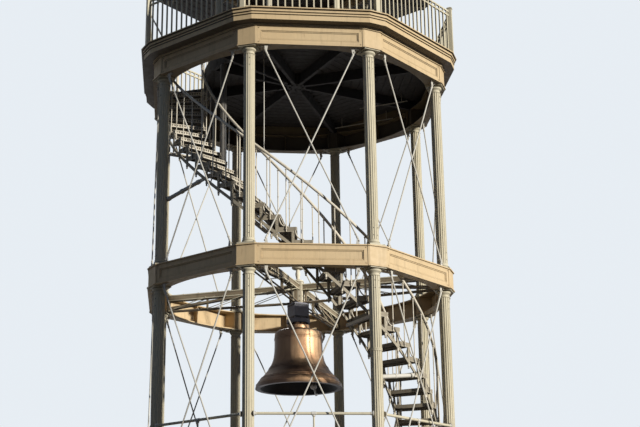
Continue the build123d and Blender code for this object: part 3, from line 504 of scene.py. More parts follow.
# Dark brown: painted shade on the bell beams between their light lacing.
beam_shade_paint = painted_iron("beam_shade_paint", (0.27, 0.205, 0.125), (0.34, 0.27, 0.17),
                          (0.15, 0.12, 0.08), wear=1.3, grime_and_shade=1.0, under=0.9)
bronze = bell_bronze("bronze")

NODE_MATERIALS = {
    "footings": grey_iron, "headstock": grey_iron, "clapper": worn_iron_with_highlight, "bell": bronze,
    "deck_ribs": deck_shade_black, "deck_trimmer": deck_shade_black, "deck_plates": deck_shade_black,
    "deck_edge_plates": deck_shade_black, "roof_soffit": soffit_shade_dark, "roof_eaves": roof_sheet,
    "roof": roof_sheet, "roof_cap": roof_sheet, "roof_finial": roof_sheet,
    "stair_hanger_post": dark_paint, "bell_beams": beam_shade_paint, "bell_yoke": cream_paint,
    "suspension_screw": cream_paint, "cab_columns": khaki_paint, "deck_cornice": cornice_paint,
    "level_3_girders": upper_paint, "level_3_corner_blocks": upper_paint,
}
for name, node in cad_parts.items():
    material = NODE_MATERIALS.get(name)
    if material is None:
        if "treads" in name:
            material = tread_shade_paint
        elif "stringers" in name:
            material = string_paint
        elif "tie_rods" in name:
            material = rod_paint
        elif name.startswith("flight") or name.startswith("stair"):
            material = stair_paint
        elif "columns" in name or "railing" in name or "rails" in name:
            material = khaki_paint
        else:
            material = tan_paint
    node.data.materials.clear()
    node.data.materials.append(material)


# ---- columns and ring girders
def column_bolts():
    """Foot bolts on every plinth and the two pairs of dowels at both ends of a shaft."""
    for number, floor in enumerate(FLOORS):
        shape = Shape()
        top = LEVELS[number] - GIRDER_HEIGHT
        for angle in COLUMN_ANGLES:
            at = turned(angle, COLUMN_RING)
            reach = PLINTH_HALF - 0.022
            for x, y in ((-reach, -reach), (reach, -reach), (reach, reach), (-reach, reach)):
                shape.bolt(at @ Vector((x, y, floor + PLINTH_HEIGHT)), (0, 0, 1), 0.010, 0.009)
            centre = plan_point(angle, COLUMN_RING, 0)
            for side in (-1, 1):
                way = plan_point(angle + side * HALF_STEP, 1, 0)
                for z in (floor + 0.19, floor + 0.31, top - 0.20, top - 0.32):
                    spot = centre + way * (SHAFT_RADIUS - 0.001) + Vector((0, 0, z))
                    shape.ball(spot, 0.0065, 8, 4)
        shape.object(f"column_bolts_{number + 1}", dark_paint, "tan_paint", 30)


def column_rings():
    """Thin astragals over the base and under the capital, and one splice collar."""
    for number, floor in enumerate(FLOORS):
        shape = Shape()
        top = LEVELS[number] - GIRDER_HEIGHT
        for angle in COLUMN_ANGLES:
            for z in (floor + 0.118, top - 0.120):
                shape.torus(SHAFT_RADIUS, 0.006, turned(angle, COLUMN_RING, z), 28, 8)
        if number == 1:
            splice = turned(HALF_STEP, COLUMN_RING, SPLICE_HEIGHT)
            edge, band = SHAFT_RADIUS - 0.01, SHAFT_RADIUS + 0.006
            shape.lathe([(edge, -0.022), (band, -0.020), (band, -0.004), (band - 0.004, 0),
                         (band, 0.004), (band, 0.020), (edge, 0.022)], splice, 32)
        shape.object(f"column_rings_{number + 1}", khaki_paint, "tan_paint", 40)


def panel_mouldings():
    """A bead round each sunk girder panel and round the inner step of it."""
    frames = ((PANEL_SIDE, PANEL_TOP, GIRDER_FACE - 0.003, 0.006),
              (PANEL_SIDE + PANEL_STEP, PANEL_TOP + PANEL_STEP,
               GIRDER_FACE - PANEL_INSET - 0.003, 0.0045))
    for number, level in enumerate(LEVELS):
        shape = Shape()
        for angle in BAY_ANGLES:
            for side, edge, out, radius in frames:
                half = GIRDER_HALF - side
                low, high = level - GIRDER_HEIGHT + edge, level - edge
                corners = [(-half, low), (half, low), (half, high), (-half, high)]
                for (x0, z0), (x1, z1) in zip(corners, corners[1:] + corners[:1]):
                    shape.bar(bay_point(angle, x0, out, z0), bay_point(angle, x1, out, z1),
                              radius, 6)
        paint = upper_paint if number == 2 else tan_paint
        shape.object(f"panel_mouldings_{number + 1}", paint, "tan_paint", 40)


def girder_bolts():
    """Bolts through the lips and the face beside each corner block."""
    for number, level in enumerate(LEVELS):
        shape = Shape()
        low = level - GIRDER_HEIGHT
        for angle in BAY_ANGLES:
            for side in (-1, 1):
                for step in (0.05, 0.12, 0.19):
                    across = side * (GIRDER_HALF - step)
                    for z, way in ((low, -1), (level, 1)):
                        spot = bay_point(angle, across, GIRDER_FACE - 0.06, z)
                        shape.bolt(spot, (0, 0, way), 0.010, 0.009)
                for z in (low + 0.045, level - 0.045):
                    shape.bolt(bay_point(angle, side * (GIRDER_HALF - 0.03), GIRDER_FACE, z),
                               plan_point(angle, 1, 0), 0.008, 0.007)
        paint = upper_paint if number == 2 else tan_paint
        shape.object(f"girder_bolts_{number + 1}", paint, "tan_paint", 30)


# ---- tie rods
def rod_fittings():
    """Sleeves, lock nuts and pins at both ends of each crossed rod, with their straps."""
    for number, level in enumerate(LEVELS):
        shape = Shape()
        floor = LEVELS[number - 1] if number else 0
        top = level - GIRDER_HEIGHT
        for angle in BAY_ANGLES:
            away = plan_point(angle, 1, 0)
            for mirror, plane in ((1, ROD_LINE - ROD_SPLIT / 2), (-1, ROD_LINE + ROD_SPLIT / 2)):
                foot = bay_point(angle, -ROD_ACROSS * mirror, plane, floor + LUG_HEIGHT)
                head = bay_point(angle, ROD_ACROSS * mirror, plane, top - LUG_HEIGHT)
                along = (head - foot).normalized()
                for end, way in ((foot, along), (head, -along)):
                    sleeve = [(0.013, -0.02), (0.018, -0.014), (0.018, 0.034), (0.0145, 0.040),
                              (0.0145, 0.062), (0.019, 0.064), (0.019, 0.082), (0.012, 0.088)]
                    shape.lathe(sleeve, facing(end, way), 8)
                    pin = end - way * 0.045
                    reach = LUG_THICKNESS / 2
                    shape.bolt(pin + away * reach, away, 0.011, 0.011)
                    shape.bolt(pin - away * reach, -away, 0.011, 0.011)
            ends = ((top, -1), (floor, 1)) if number else ((top, -1),)
            for seat, way in ends:
                for side in (-1, 1):
                    near = ROD_ACROSS - 0.05
                    far = SIDE / 2 - PLINTH_HALF + 0.01
                    start = bay_point(angle, side * near, ROD_LINE, seat + way * 0.006)
                    end = bay_point(angle, side * far, ROD_LINE - 0.03, seat + way * 0.006)
                    shape.beam(start, end, 0.046, 0.010)
                    shape.bolt(end.lerp(start, 0.15) + Vector((0, 0, way * 0.005)), (0, 0, way),
                               0.011, 0.011)
        shape.object(f"rod_fittings_{number + 1}", rod_paint, "tan_paint", 30)


# ---- stair
def nose_angle(step):
    return STAIR_TOP_ANGLE + (RISERS - step) * STEP_ANGLE


def tread_height(step):
    return FOOT_STEP + step * RISE


def line_height(angle):
    return tread_height(RISERS) - (angle - STAIR_TOP_ANGLE) * RISE / STEP_ANGLE


def tread_fronts():
    """A pierced front under a rolled nosing on each tread."""
    shape = Shape()
    pitch = 0.047
    count = round((TREAD_OUTER - TREAD_INNER) / pitch)
    for step in STEPS:
        front = nose_angle(step) + NOSING
        top = tread_height(step)
        ahead = plan_point(front + 90, 1, 0)

        def corner(radius, forward, z):
            return plan_point(front, radius, z) + ahead * forward

        shape.bar(corner(TREAD_INNER + 0.002, 0.006, top - 0.008),
                  corner(TREAD_OUTER - 0.002, 0.006, top - 0.008), 0.0085, 8)
        strip = top - TREAD_THICKNESS + 0.007
        shape.beam(corner(TREAD_INNER + 0.002, 0.005, strip),
                   corner(TREAD_OUTER - 0.002, 0.005, strip), 0.010, 0.014)
        for k in range(count + 1):
            radius = TREAD_INNER + 0.012 + (TREAD_OUTER - TREAD_INNER - 0.024) * k / count
            shape.beam(corner(radius, 0.0045, strip), corner(radius, 0.0045, top - 0.010),
                       0.014, 0.009, ahead)
    shape.object("tread_fronts", stair_paint, "tread_iron", 40)


def tread_ribs():
    """Two stiffening ribs under each tread and four grip bars on it."""
    shape = Shape()
    for step in STEPS:
        top = tread_height(step)
        low = top - TREAD_THICKNESS
        nose = nose_angle(step)
        inner, outer = TREAD_INNER + STRINGER_THICKNESS, TREAD_OUTER - STRINGER_THICKNESS
        for back in (1.6, 4.4):
            shape.beam(plan_point(nose - back, inner, low - 0.013),
                       plan_point(nose - back, outer, low - 0.013), 0.012, 0.030)
        for back in (0.9, 2.1, 3.3, 4.5):
            shape.beam(plan_point(nose - back, inner + 0.03, top + 0.001),
                       plan_point(nose - back, outer - 0.03, top + 0.001), 0.007, 0.005)
    shape.object("tread_ribs", tread_shade_paint, "tread_iron", 30)


def string_brackets():
    """Concave brackets from each tread's nose down to the next tread, and drops below."""
    shape = Shape()
    for ring in (TREAD_INNER + STRINGER_THICKNESS / 2, TREAD_OUTER - STRINGER_THICKNESS / 2):
        for step in STEPS:
            post = nose_angle(step) - degrees(STRINGER_POST / 2 / ring)
            low = tread_height(step) - TREAD_THICKNESS - STRINGER_DEPTH
            if low > LOWEST_DROP:
                drop = [(0.003, -0.056), (0.014, -0.046), (0.017, -0.036), (0.010, -0.026),
                        (0.019, -0.018), (0.019, 0.026)]
                shape.lathe(drop, Matrix.Translation(plan_point(post, ring, low)), 10)
            if step == 1:
                continue
            start, end = nose_angle(step) + 0.35, nose_angle(step) + 3.4
            high, foot = tread_height(step) - TREAD_THICKNESS, tread_height(step - 1) + 0.004
            shape.pipe([plan_point(start + (end - start) * run, ring, foot + (high - foot) * rise)
                        for run, rise in quarter_arc(6)], 0.010, 8)
            shape.collar(plan_point(end, ring, foot + 0.008), 0.009, 0.006, 0.020, 8)
    shape.object("string_brackets", stair_paint, "tan_paint", 40)


def string_bolts():
    """Three bolt heads on each post of both strings, save those too near the ground."""
    shape = Shape()
    for ring, way in ((TREAD_INNER, -1), (TREAD_OUTER, 1)):
        face = ring if way > 0 else ring * cos(radians(STEP_ANGLE / 2))
        for step in STEPS:
            post = nose_angle(step) - degrees(STRINGER_POST / 2 / ring)
            top = tread_height(step) - TREAD_THICKNESS
            for drop in (0.03, 0.11, 0.26):
                if top - drop > LOWEST_BOLT:
                    shape.bolt(plan_point(post, face - way * 0.001, top - drop),
                               plan_point(post, way, 0), 0.009, 0.008)
    shape.object("string_bolts", stair_paint, "tan_paint", 30)


def stair_rail_fittings():
    """Collars on the balusters, and caps and shoes on the newels."""
    shape = Shape()
    for step in STEPS:
        middle = nose_angle(step) - STEP_ANGLE / 2
        rail = line_height(middle) + RAIL_HEIGHT
        top = tread_height(step)
        for ring in (INNER_RAIL_RING, OUTER_RAIL_RING):
            shape.collar(plan_point(middle, ring, rail - 0.043), 0.009, 0.008, 0.024, 8)
            shape.collar(plan_point(middle, ring, (top + rail) / 2), 0.009, 0.005, 0.018, 8)
        shape.collar(plan_point(middle, INNER_RAIL_RING, top + 0.012), 0.010, 0.010, 0.024, 8)
        shape.collar(plan_point(middle, OUTER_RAIL_RING, top - 0.030), 0.009, 0.007, 0.020, 8)
    for ring in (INNER_RAIL_RING, OUTER_RAIL_RING):
        beside = degrees((NEWEL_RADIUS + SEAT_GAP) / ring)
        for angle, foot, top in ((nose_angle(1) + NOSING + beside, 0, NEWEL_HEIGHT + RISE),
                                 (STAIR_TOP_ANGLE - beside, DECK_TOP, DECK_TOP + NEWEL_HEIGHT)):
            cap = [(0.024, -0.012), (0.036, -0.006), (0.036, 0.008), (0.020, 0.014), (0.016, 0.024),
                   (0.030, 0.036), (0.038, 0.052), (0.038, 0.064), (0.029, 0.080), (0.012, 0.090)]
            shape.lathe(cap, Matrix.Translation(plan_point(angle, ring, top)), 16)
            shoe = [(0.050, 0.0), (0.050, 0.012), (0.034, 0.022), (0.030, 0.050), (0.025, 0.056)]
            shape.lathe(shoe, Matrix.Translation(plan_point(angle, ring, foot)), 16)
    shape.object("stair_rail_fittings", stair_paint, "tan_paint", 40)


def stair_hanger_rod():
    """A thin rod from the deck down to the inner rail, with a socket at each end."""
    shape = Shape()
    foot = line_height(HANGER_ROD_ANGLE) + RAIL_HEIGHT + RAIL_RADIUS - 0.004
    low = plan_point(HANGER_ROD_ANGLE, INNER_RAIL_RING, foot)
    high = plan_point(HANGER_ROD_ANGLE, INNER_RAIL_RING, DECK_UNDER)
    shape.bar(low, high, 0.008, 8)
    shape.lathe([(0.022, 0.0), (0.022, 0.03), (0.012, 0.05)], Matrix.Translation(low), 12)
    shape.lathe([(0.012, -0.05), (0.03, -0.012), (0.03, 0.0)], Matrix.Translation(high), 12)
    shape.object("stair_hanger_rod", rod_paint, "tan_paint", 40)


def strut_tubes():
    """Round sleeves on the struts between the columns and the outer string."""
    shape = Shape()
    for angle in STRUT_COLUMNS:
        step = round(RISERS - 0.5 - (angle + STRUT_REACH - STAIR_TOP_ANGLE) / STEP_ANGLE)
        middle = nose_angle(step) - STEP_ANGLE / 2
        under = tread_height(step) - TREAD_THICKNESS - STRINGER_DEPTH + RISE / 2 - STRUT_DEPTH / 2
        across = COLUMN_RING * sin(radians(angle - middle))
        line = TREAD_OUTER - STRINGER_THICKNESS / 2

        def along(x):
            return bay_point(middle, x, line, under - STRUT_RISE * x / across)

        start, end = across + 0.088, -0.045
        shape.pipe([along(start), along(end)], 0.034, 16)
        way = (along(end) - along(start)).normalized()
        for share in (0.03, 0.44, 0.94):
            ring = facing(along(start + (end - start) * share), way)
            shape.lathe([(0.033, -0.022), (0.041, -0.020), (0.041, 0.020), (0.033, 0.022)],
                        ring, 16)
    shape.object("strut_tubes", rod_paint, "tan_paint", 40)


# ---- rail of the first level
def low_rail_fittings():
    """Flanges at the columns, and a tee, collar and foot on the post of each bay."""
    shape = Shape()
    height = LEVELS[0] + LOW_RAIL_HEIGHT
    offset = LOW_RAIL_RING - COLUMN_LINE
    reach = SIDE / 2 - sqrt(SHAFT_RADIUS ** 2 - offset ** 2) - 0.008
    for angle in BAY_ANGLES:
        for side in (-1, 1):
            end = bay_point(angle, side * (reach - 0.016), LOW_RAIL_RING, height)
            along = bay_point(angle, -side, 0, 0)
            shape.lathe([(0.042, -0.012), (0.042, 0.0), (0.030, 0.006), (0.028, 0.03),
                         (0.022, 0.034)], facing(end, along), 16)
        shape.collar(bay_point(angle, 0, LOW_RAIL_RING, height - 0.034), 0.014, 0.010, 0.034, 12)
        across = bay_point(angle, 1, 0, 0)
        tee = bay_point(angle, -0.04, LOW_RAIL_RING, height)
        shape.lathe([(0.021, 0.0), (0.027, 0.004), (0.027, 0.076), (0.021, 0.08)],
                    facing(tee, across), 12)
        shape.lathe([(0.040, 0.0), (0.040, 0.010), (0.020, 0.018), (0.018, 0.05), (0.013, 0.054)],
                    Matrix.Translation(bay_point(angle, 0, LOW_RAIL_RING, LEVELS[0])), 16)
    shape.object("low_rail_fittings", rod_paint, "tan_paint", 40)


# ---- bell and its frame
def beam_lacing():
    """Zigzag bars over and under each pair of flats, edge strips, and bolted diagonals."""
    shape = Shape()
    flats_low = BEAM_TOP - BEAM_DEPTH
    for angle in BEAM_ANGLES:
        at = turned(angle)
        for z, way in ((BEAM_TOP + 0.003, 1), (flats_low - 0.003, -1)):
            for k in range(LACINGS):
                y0, y1 = (BEAM_INNER + 0.05 + (BEAM_END - BEAM_INNER - 0.10) * end / LACINGS
                          for end in (k, k + 1))
                x = (BEAM_HALF - 0.012) * (-1 if k % 2 else 1)
                start = at @ Vector((x, -y0, z))
                shape.beam(start, at @ Vector((-x, -y1, z)), 0.020, 0.006)
                shape.bolt(start, (0, 0, way), 0.007, 0.007)
        for side in (-1, 1):
            near, far = sorted((side * (BEAM_HALF - 0.002), side * (BEAM_HALF + 0.010)))
            for low in (flats_low, BEAM_TOP - 0.022):
                shape.soft_box((near, 0.006 - BEAM_END, low),
                               (far, -BEAM_INNER - 0.006, low + 0.022), 0.003, at)
        span = BEAM_END - BEAM_INNER
        for first, last in zip(BEAM_POSTS, BEAM_POSTS[1:]):
            for side in (-1, 1):
                x = side * (BEAM_HALF + 0.004)
                start = at @ Vector((x, -(BEAM_INNER + first * span + 0.02), flats_low + 0.02))
                foot = CHORD_LOW + (CHORD_END - CHORD_LOW) * last + 0.004
                end = at @ Vector((x, -(BEAM_INNER + last * span - 0.02), foot))
                shape.bar(start, end, 0.007, 8)
                for point in (start, end):
                    shape.bolt(point, at.to_3x3() @ Vector((side, 0, 0)), 0.010, 0.009)
    shape.object("beam_lacing", khaki_paint, "tan_paint", 40)


def yoke_bolts():
    """Bolt heads on the yoke, a square nut on the screw, and the headstock's bands and bolts.

    Eight bolts go through the disc under the headstock, with a head on either side.
    """
    shape = Shape()
    for quarter in range(4):
        turn = BEAM_ANGLES[0] + 90 * quarter
        for side in (-1, 1):
            for drop in (0.05, 0.13, 0.24, 0.32):
                at = turned(turn, BEAM_INNER)
                shape.bolt(at @ Vector((side * 0.066, 0.001, LEVELS[1] - drop)),
                           plan_point(turn, 1, 0), 0.009, 0.009)
    shape.soft_box((-0.052, -0.052, 0), (0.052, 0.052, 0.034), 0.008,
                   turned(12, 0, SCREW_TOP - 0.002))
    shape.object("yoke_bolts", khaki_paint, "tan_paint", 30)

    bands = Shape()
    half = HEADSTOCK_HALF + 0.004
    for z in (HEADSTOCK_LOW + 0.018, HEADSTOCK_LOW + HEADSTOCK_HEIGHT - 0.052):
        bands.soft_box((-half, -half, 0), (half, half, 0.034), 0.006, turned(HEADSTOCK_ANGLE, 0, z))
        for quarter in range(4):
            for side in (-1, 1):
                at = turned(HEADSTOCK_ANGLE + 90 * quarter, half)
                bands.bolt(at @ Vector((side * 0.09, 0.001, z + 0.017)),
                           plan_point(HEADSTOCK_ANGLE + 90 * quarter, 1, 0), 0.009, 0.009)
    for k in range(8):
        bolt = plan_point(45 * k + 10, DISC_RADIUS - 0.034, 0)
        bands.bolt(bolt + Vector((0, 0, HEADSTOCK_LOW)), (0, 0, 1), 0.014, 0.016)
        bands.bolt(bolt + Vector((0, 0, DISC_LOW)), (0, 0, -1), 0.012, 0.012)
    bands.object("headstock_bands", black_iron, "iron_dark", 30)


def wall_radius(height):
    """How far out the cast wall of the bell stands at a height above its mouth."""
    start = Vector((BELL_REACH, 0, MOUTH + height))
    hit, place, *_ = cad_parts["bell"].ray_cast(start, Vector((-1, 0, 0)))
    return place.x if hit else None


def bell_rings():
    """Raised beads round the bell and a moulding that squares its shoulder."""
    shape = Shape()
    for height, radius in ((0.060, 0.007), (0.150, 0.006), (0.176, 0.006),
                           (0.322, 0.005), (0.346, 0.008), (0.370, 0.005),
                           (0.832, 0.005), (0.856, 0.008), (0.880, 0.005)):
        wall = wall_radius(height)
        if wall:
            shape.torus(wall, radius, Matrix.Translation((0, 0, MOUTH + height)), 96, 8)
    wall = wall_radius(0.86)
    if wall:
        shoulder = [(wall - 0.02, 0.868), (wall + 0.001, 0.872), (wall - 0.003, 0.935),
                    (wall - 0.016, 0.966), (wall - 0.045, 0.982), (wall - 0.10, 0.990),
                    (wall - 0.16, 0.994)]
        shape.lathe(shoulder, Matrix.Translation((0, 0, MOUTH)), 96)
    shape.object("bell_rings", bronze, "bronze", 50)


# ---- deck
def lay_boards(shape, run, heights, width, gap, inset, least, round_well=True):
    """Boards across every bay, each as long as the bay is wide there, less an inset.

    run is where they start and stop, out from the axis. heights are those of their faces.
    With round_well the space over the stairwell stays open.
    """
    for angle in BAY_ANGLES:
        out = run[0]
        while out + width < run[1]:
            in_well = angle in WELL_BAYS and out + width > WELL_NEAR and out < WELL_FAR
            if not (round_well and in_well):
                half = max(out * tan(HALF) - inset, least)
                shape.soft_box((-half, -out - width, heights[0]), (half, -out, heights[1]),
                               0.004, turned(angle))
            out += width + gap


def deck_boards():
    """Boards between the ribs, seen from below, and the floor boards on the deck."""
    under, over = Shape(), Shape()
    width, gap = 0.145, 0.010
    lay_boards(under, (0.26, GIRDER_FACE - 0.09), (DECK_UNDER - 0.016, DECK_UNDER + 0.004),
               width, gap, inset=RIB_HALF + 0.012, least=0.03)
    lay_boards(over, (0.0, CORNICE_FACE - 0.06), (DECK_TOP - 0.004, DECK_TOP + 0.014),
               width, gap, inset=0.004, least=0.03)
    under.object("deck_under_boards", deck_shade_black, "deck_iron", 30)
    over.object("deck_floor_boards", floor_board, "deck_iron", 30)


def deck_pipes():
    """Two thin pipes clipped under the deck, and bolts on its hub and ribs."""
    shape = Shape()
    hang = LEVELS[2] - 0.006
    for start, end in PIPE_RUNS:
        low, high = Vector((*start, hang)), Vector((*end, hang))
        shape.bar(low, high, 0.011, 8)
        for share in (0.12, 0.5, 0.88):
            clip = low.lerp(high, share)
            shape.bar(clip, clip + Vector((0, 0, DECK_UNDER - hang)), 0.006, 6)
            shape.collar(clip, 0.010, 0.006, 0.02, 8)
    shape.object("deck_pipes", rod_paint, "deck_iron", 40)

    hub = Shape()
    for bay, angle in zip(BAY_ANGLES, COLUMN_ANGLES):
        hub.bolt(plan_point(bay, 0.115, LEVELS[2]), (0, 0, -1), 0.016, 0.014)
        for out in (0.34, 0.9, 1.5):
            if angle == WELL_RIB and out > WELL_RIB_END:
                continue
            at = turned(angle, out, LEVELS[2])
            for side in (-1, 1):
                hub.bolt(at @ Vector((side * 0.018, 0, 0)), (0, 0, -1), 0.008, 0.008)
    hub.object("deck_rib_bolts", deck_shade_black, "deck_iron", 30)


def railing_parts():
    """Collars and balls on the balusters, caps and shoes on the posts, a stay behind each."""
    shape = Shape()
    line = POST_RING * cos(HALF)
    reach = (POST_HALF + 0.013 * sin(HALF)) / cos(HALF)
    half = POST_RING * sin(HALF) - reach
    top = DECK_TOP + RAILING_HEIGHT
    for angle in BAY_ANGLES:
        for k in range(BALUSTERS_A_SIDE):
            across = (k + 0.5) * 2 * half / BALUSTERS_A_SIDE - half
            for z in (top - RAILING_BAR - SECOND_RAIL_DROP - 0.016, DECK_TOP + LOW_BAR_TOP + 0.014):
                shape.soft_box((-0.015, -0.015, 0), (0.015, 0.015, 0.014), 0.004,
                               turned(angle) @ Matrix.Translation((across, -line, z - 0.007)))
            spot = bay_point(angle, across, line, top - RAILING_BAR - SECOND_RAIL_DROP / 2)
            shape.ball(spot, 0.017, 8, 6)
    post_top = top + POST_OVER_RAIL
    for angle in COLUMN_ANGLES:
        at = turned(angle, POST_RING, post_top)
        w = POST_HALF + 0.010
        shape.soft_box((-w, -w, -0.002), (w, w, 0.016), 0.005, at)
        shape.loop_stack([[(-w, -w, z), (w, -w, z), (w, w, z), (-w, w, z)]
                          for w, z in ((0.03, 0.015), (0.008, 0.040))], at)
        shape.soft_box((-w, -w, -0.002), (w, w, 0.020), 0.005, turned(angle, POST_RING, DECK_TOP))
    shape.object("railing_caps", khaki_paint, "tan_paint", 30)

    stays = Shape()
    for angle in COLUMN_ANGLES:
        high = plan_point(angle, POST_RING - POST_HALF, DECK_TOP + 0.60)
        low = plan_point(angle, POST_RING - POST_HALF - 0.36, DECK_TOP + 0.012)
        stays.beam(high, low, 0.030, 0.012)
        stays.beam(low, low + plan_point(angle, -0.08, 0), 0.030, 0.012)
        foot = low + plan_point(angle, -0.05, 0) + Vector((0, 0, 0.005))
        stays.bolt(foot, (0, 0, 1), 0.010, 0.010)
        stays.bolt(high.lerp(low, 0.04), plan_point(angle, -1, 0), 0.010, 0.010)
    stays.object("railing_stays", black_iron, "iron_dark", 30)


# ---- cab and roof
def cab_fittings():
    """Rings on the cab's columns and curved brackets under its beams."""
    shape = Shape()
    beam_low = DECK_TOP + CAB_HEIGHT - CAB_BEAM_HEIGHT
    for angle in COLUMN_ANGLES:
        for z in (DECK_TOP + 0.069, DECK_TOP + 0.30, beam_low - 0.070, beam_low - CAB_BRACKET):
            shape.torus(CAB_COLUMN_RADIUS, 0.007, turned(angle, CAB_RING, z), 24, 8)
    for angle in BAY_ANGLES:
        line = CAB_RING * cos(HALF)
        far = CAB_RING * sin(HALF) - CAB_COLUMN_RADIUS
        for side in (-1, 1):
            shape.pipe([bay_point(angle, side * (far - CAB_BRACKET * run), line,
                                  beam_low - CAB_BRACKET * rise)
                        for run, rise in quarter_arc(8)], 0.014, 8)
    shape.object("cab_fittings", khaki_paint, "tan_paint", 40)


def roof_parts():
    """Soffit boards and rafters, two fascia mouldings, hips and standing seams."""
    soffit = Shape()
    lay_boards(soffit, (0.05, EAVES_FACE - 0.01), (SOFFIT_LOW - 0.012, SOFFIT_LOW + 0.004),
               width=0.150, gap=0.012, inset=0.006, least=0.02, round_well=False)
    for angle in COLUMN_ANGLES:
        soffit.soft_box((-0.028, -EAVES_FACE / cos(HALF) + 0.05, SOFFIT_LOW - 0.055),
                        (0.028, -CAB_RING - 0.06, SOFFIT_LOW + 0.002), 0.006, turned(angle))
    soffit.object("soffit_boards", soffit_shade_dark, "roof_brown", 30)

    sheet = Shape()
    face = EAVES_FACE + FASCIA_OUT - 0.006
    for angle in BAY_ANGLES:
        half = face * tan(HALF)
        for z, radius in ((EAVES_LOW + 0.016, 0.013), (ROOF_LOW - 0.018, 0.015)):
            sheet.bar(bay_point(angle, -half, face, z), bay_point(angle, half, face, z), radius, 8)
        low_half = EAVES_FACE * tan(HALF)
        top_half = ROOF_TOP_HALF * tan(HALF)
        for share in (-0.66, -0.33, 0, 0.33, 0.66):
            foot = bay_point(angle, share * low_half, EAVES_FACE, ROOF_LOW + 0.004)
            head = bay_point(angle, share * top_half, ROOF_TOP_HALF, ROOF_LOW + ROOF_RISE + 0.004)
            sheet.beam(foot, head, 0.016, 0.034)
    for angle in COLUMN_ANGLES:
        foot = plan_point(angle, EAVES_FACE / cos(HALF), ROOF_LOW + 0.004)
        head = plan_point(angle, ROOF_TOP_HALF / cos(HALF), ROOF_LOW + ROOF_RISE + 0.004)
        sheet.bar(foot, head, 0.026, 10)
        sheet.ball(foot, 0.034, 12, 8)
    sheet.object("roof_seams", roof_sheet, "roof_brown", 40)


def footing_parts():
    """Anchor bolts on each column shoe and a bevelled band round its foot."""
    shape = Shape()
    corners = [(cos(radians(a)), sin(radians(a))) for a in COLUMN_ANGLES]
    for angle in COLUMN_ANGLES:
        at = turned(angle, COLUMN_RING)
        for c, s in corners[::2]:
            spot = Vector((ANCHOR_RING * s, ANCHOR_RING * c, FOOTING_HEIGHT))
            shape.bolt(at @ spot, (0, 0, 1), 0.009, 0.012)
        rings = []
        for inset, z in ((0.010, 0.0), (0.0, 0.006), (0.0, 0.028), (0.008, 0.034)):
            radius = FOOTING_HALF - inset + 0.006
            rings.append([(radius * c, radius * s, z) for c, s in corners])
        shape.loop_stack(rings, at)
    shape.object("footing_parts", grey_iron, "iron_dark", 30)


for make in (column_bolts, column_rings, panel_mouldings, girder_bolts, rod_fittings,
             tread_fronts, tread_ribs, string_brackets, string_bolts, stair_rail_fittings,
             stair_hanger_rod, strut_tubes, low_rail_fittings, beam_lacing, yoke_bolts,
             bell_rings, deck_boards, deck_pipes, railing_parts, cab_fittings, roof_parts,
             footing_parts):
    make()


# ---- camera and light
camera = bpy.data.objects.new("camera", bpy.data.cameras.new("camera"))
camera.data.lens = 71.04
camera.data.sensor_width = 36.0
camera.data.clip_end = 400.0
place = Matrix.Translation((-1.939, -21.282, 2.012))
heading = Matrix.Rotation(radians(-6.283), 4, "Z")
pitch = Matrix.Rotation(radians(90 + 17.30), 4, "X")
roll = Matrix.Rotation(-0.0143, 4, "Z")
camera.matrix_world = place @ heading @ pitch @ roll
bpy.context.scene.collection.objects.link(camera)
bpy.context.scene.camera = camera


def sun(name, azimuth, elevation, strength, angle):
    """azimuth is a plan angle from the front towards +X."""
    data = bpy.data.lights.new(name, "SUN")
    data.energy = strength
    data.angle = radians(angle)
    lamp = bpy.data.objects.new(name, data)
    towards = plan_point(azimuth, cos(radians(elevation)), sin(radians(elevation)))
    lamp.rotation_euler = towards.to_track_quat("Z", "Y").to_euler()
    bpy.context.scene.collection.objects.link(lamp)


sun("key", 46, 10, 4.5, 1.5)
sun("back", 180, 35, 1.0, 10)


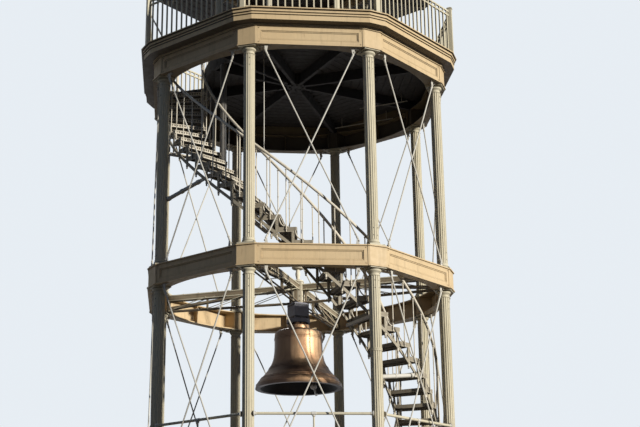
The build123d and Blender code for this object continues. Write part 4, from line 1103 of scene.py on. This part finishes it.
def seen_directly(tree):
    """1 for rays from the camera, a mirror or glass, 0 for the rays that light the object."""
    paths = tree.nodes.new("ShaderNodeLightPath")
    total = paths.outputs["Is Camera Ray"]
    for name in ("Is Glossy Ray", "Is Transmission Ray"):
        total = add_node(tree, "ShaderNodeMath", {0: total, 1: paths.outputs[name]},
                         operation="MAXIMUM").outputs[0]
    return total


def choose(tree, lighting, seen, output):
    """Lights the object with one shader and shows the other one to the camera."""
    choice = add_node(tree, "ShaderNodeMixShader",
                      {0: seen_directly(tree), 1: lighting.outputs[0], 2: seen.outputs[0]})
    add_node(tree, output, {"Surface": choice.outputs[0]})


world = bpy.data.worlds.new("world")
bpy.context.scene.world = world
world.use_nodes = True
sky = world.node_tree
sky.nodes.clear()
soft = add_node(sky, "ShaderNodeBackground", {"Color": rgb(0.32, 0.52, 1.0), "Strength": 0.17})
pale = add_node(sky, "ShaderNodeBackground", {"Color": rgb(0.80, 0.85, 0.90), "Strength": 1.0})
choose(sky, soft, pale, "ShaderNodeOutputWorld")

# A pale floor that throws only as much light up on the object as bare ground does.
FLOOR = 60.0
floor_mesh = bpy.data.meshes.new("floor")
corners = [(-FLOOR, -FLOOR, 0), (FLOOR, -FLOOR, 0), (FLOOR, FLOOR, 0), (-FLOOR, FLOOR, 0)]
floor_mesh.from_pydata(corners, [], [(0, 1, 2, 3)])
floor = bpy.data.objects.new("floor", floor_mesh)
bpy.context.scene.collection.objects.link(floor)
floor_look = bpy.data.materials.new("floor_pale")
floor_look.use_nodes = True
ground = floor_look.node_tree
ground.nodes.clear()
bare = add_node(ground, "ShaderNodeBsdfDiffuse", {"Color": rgb(0.10, 0.09, 0.075)})
paper = add_node(ground, "ShaderNodeBsdfPrincipled",
                 {"Base Color": rgb(0.80, 0.80, 0.80), "Roughness": 0.9, "Specular IOR Level": 0.0,
                  "Emission Color": rgb(1.0, 0.98, 0.95), "Emission Strength": 0.38})
choose(ground, bare, paper, "ShaderNodeOutputMaterial")
floor_mesh.materials.append(floor_look)

bpy.context.scene.view_settings.view_transform = "Standard"
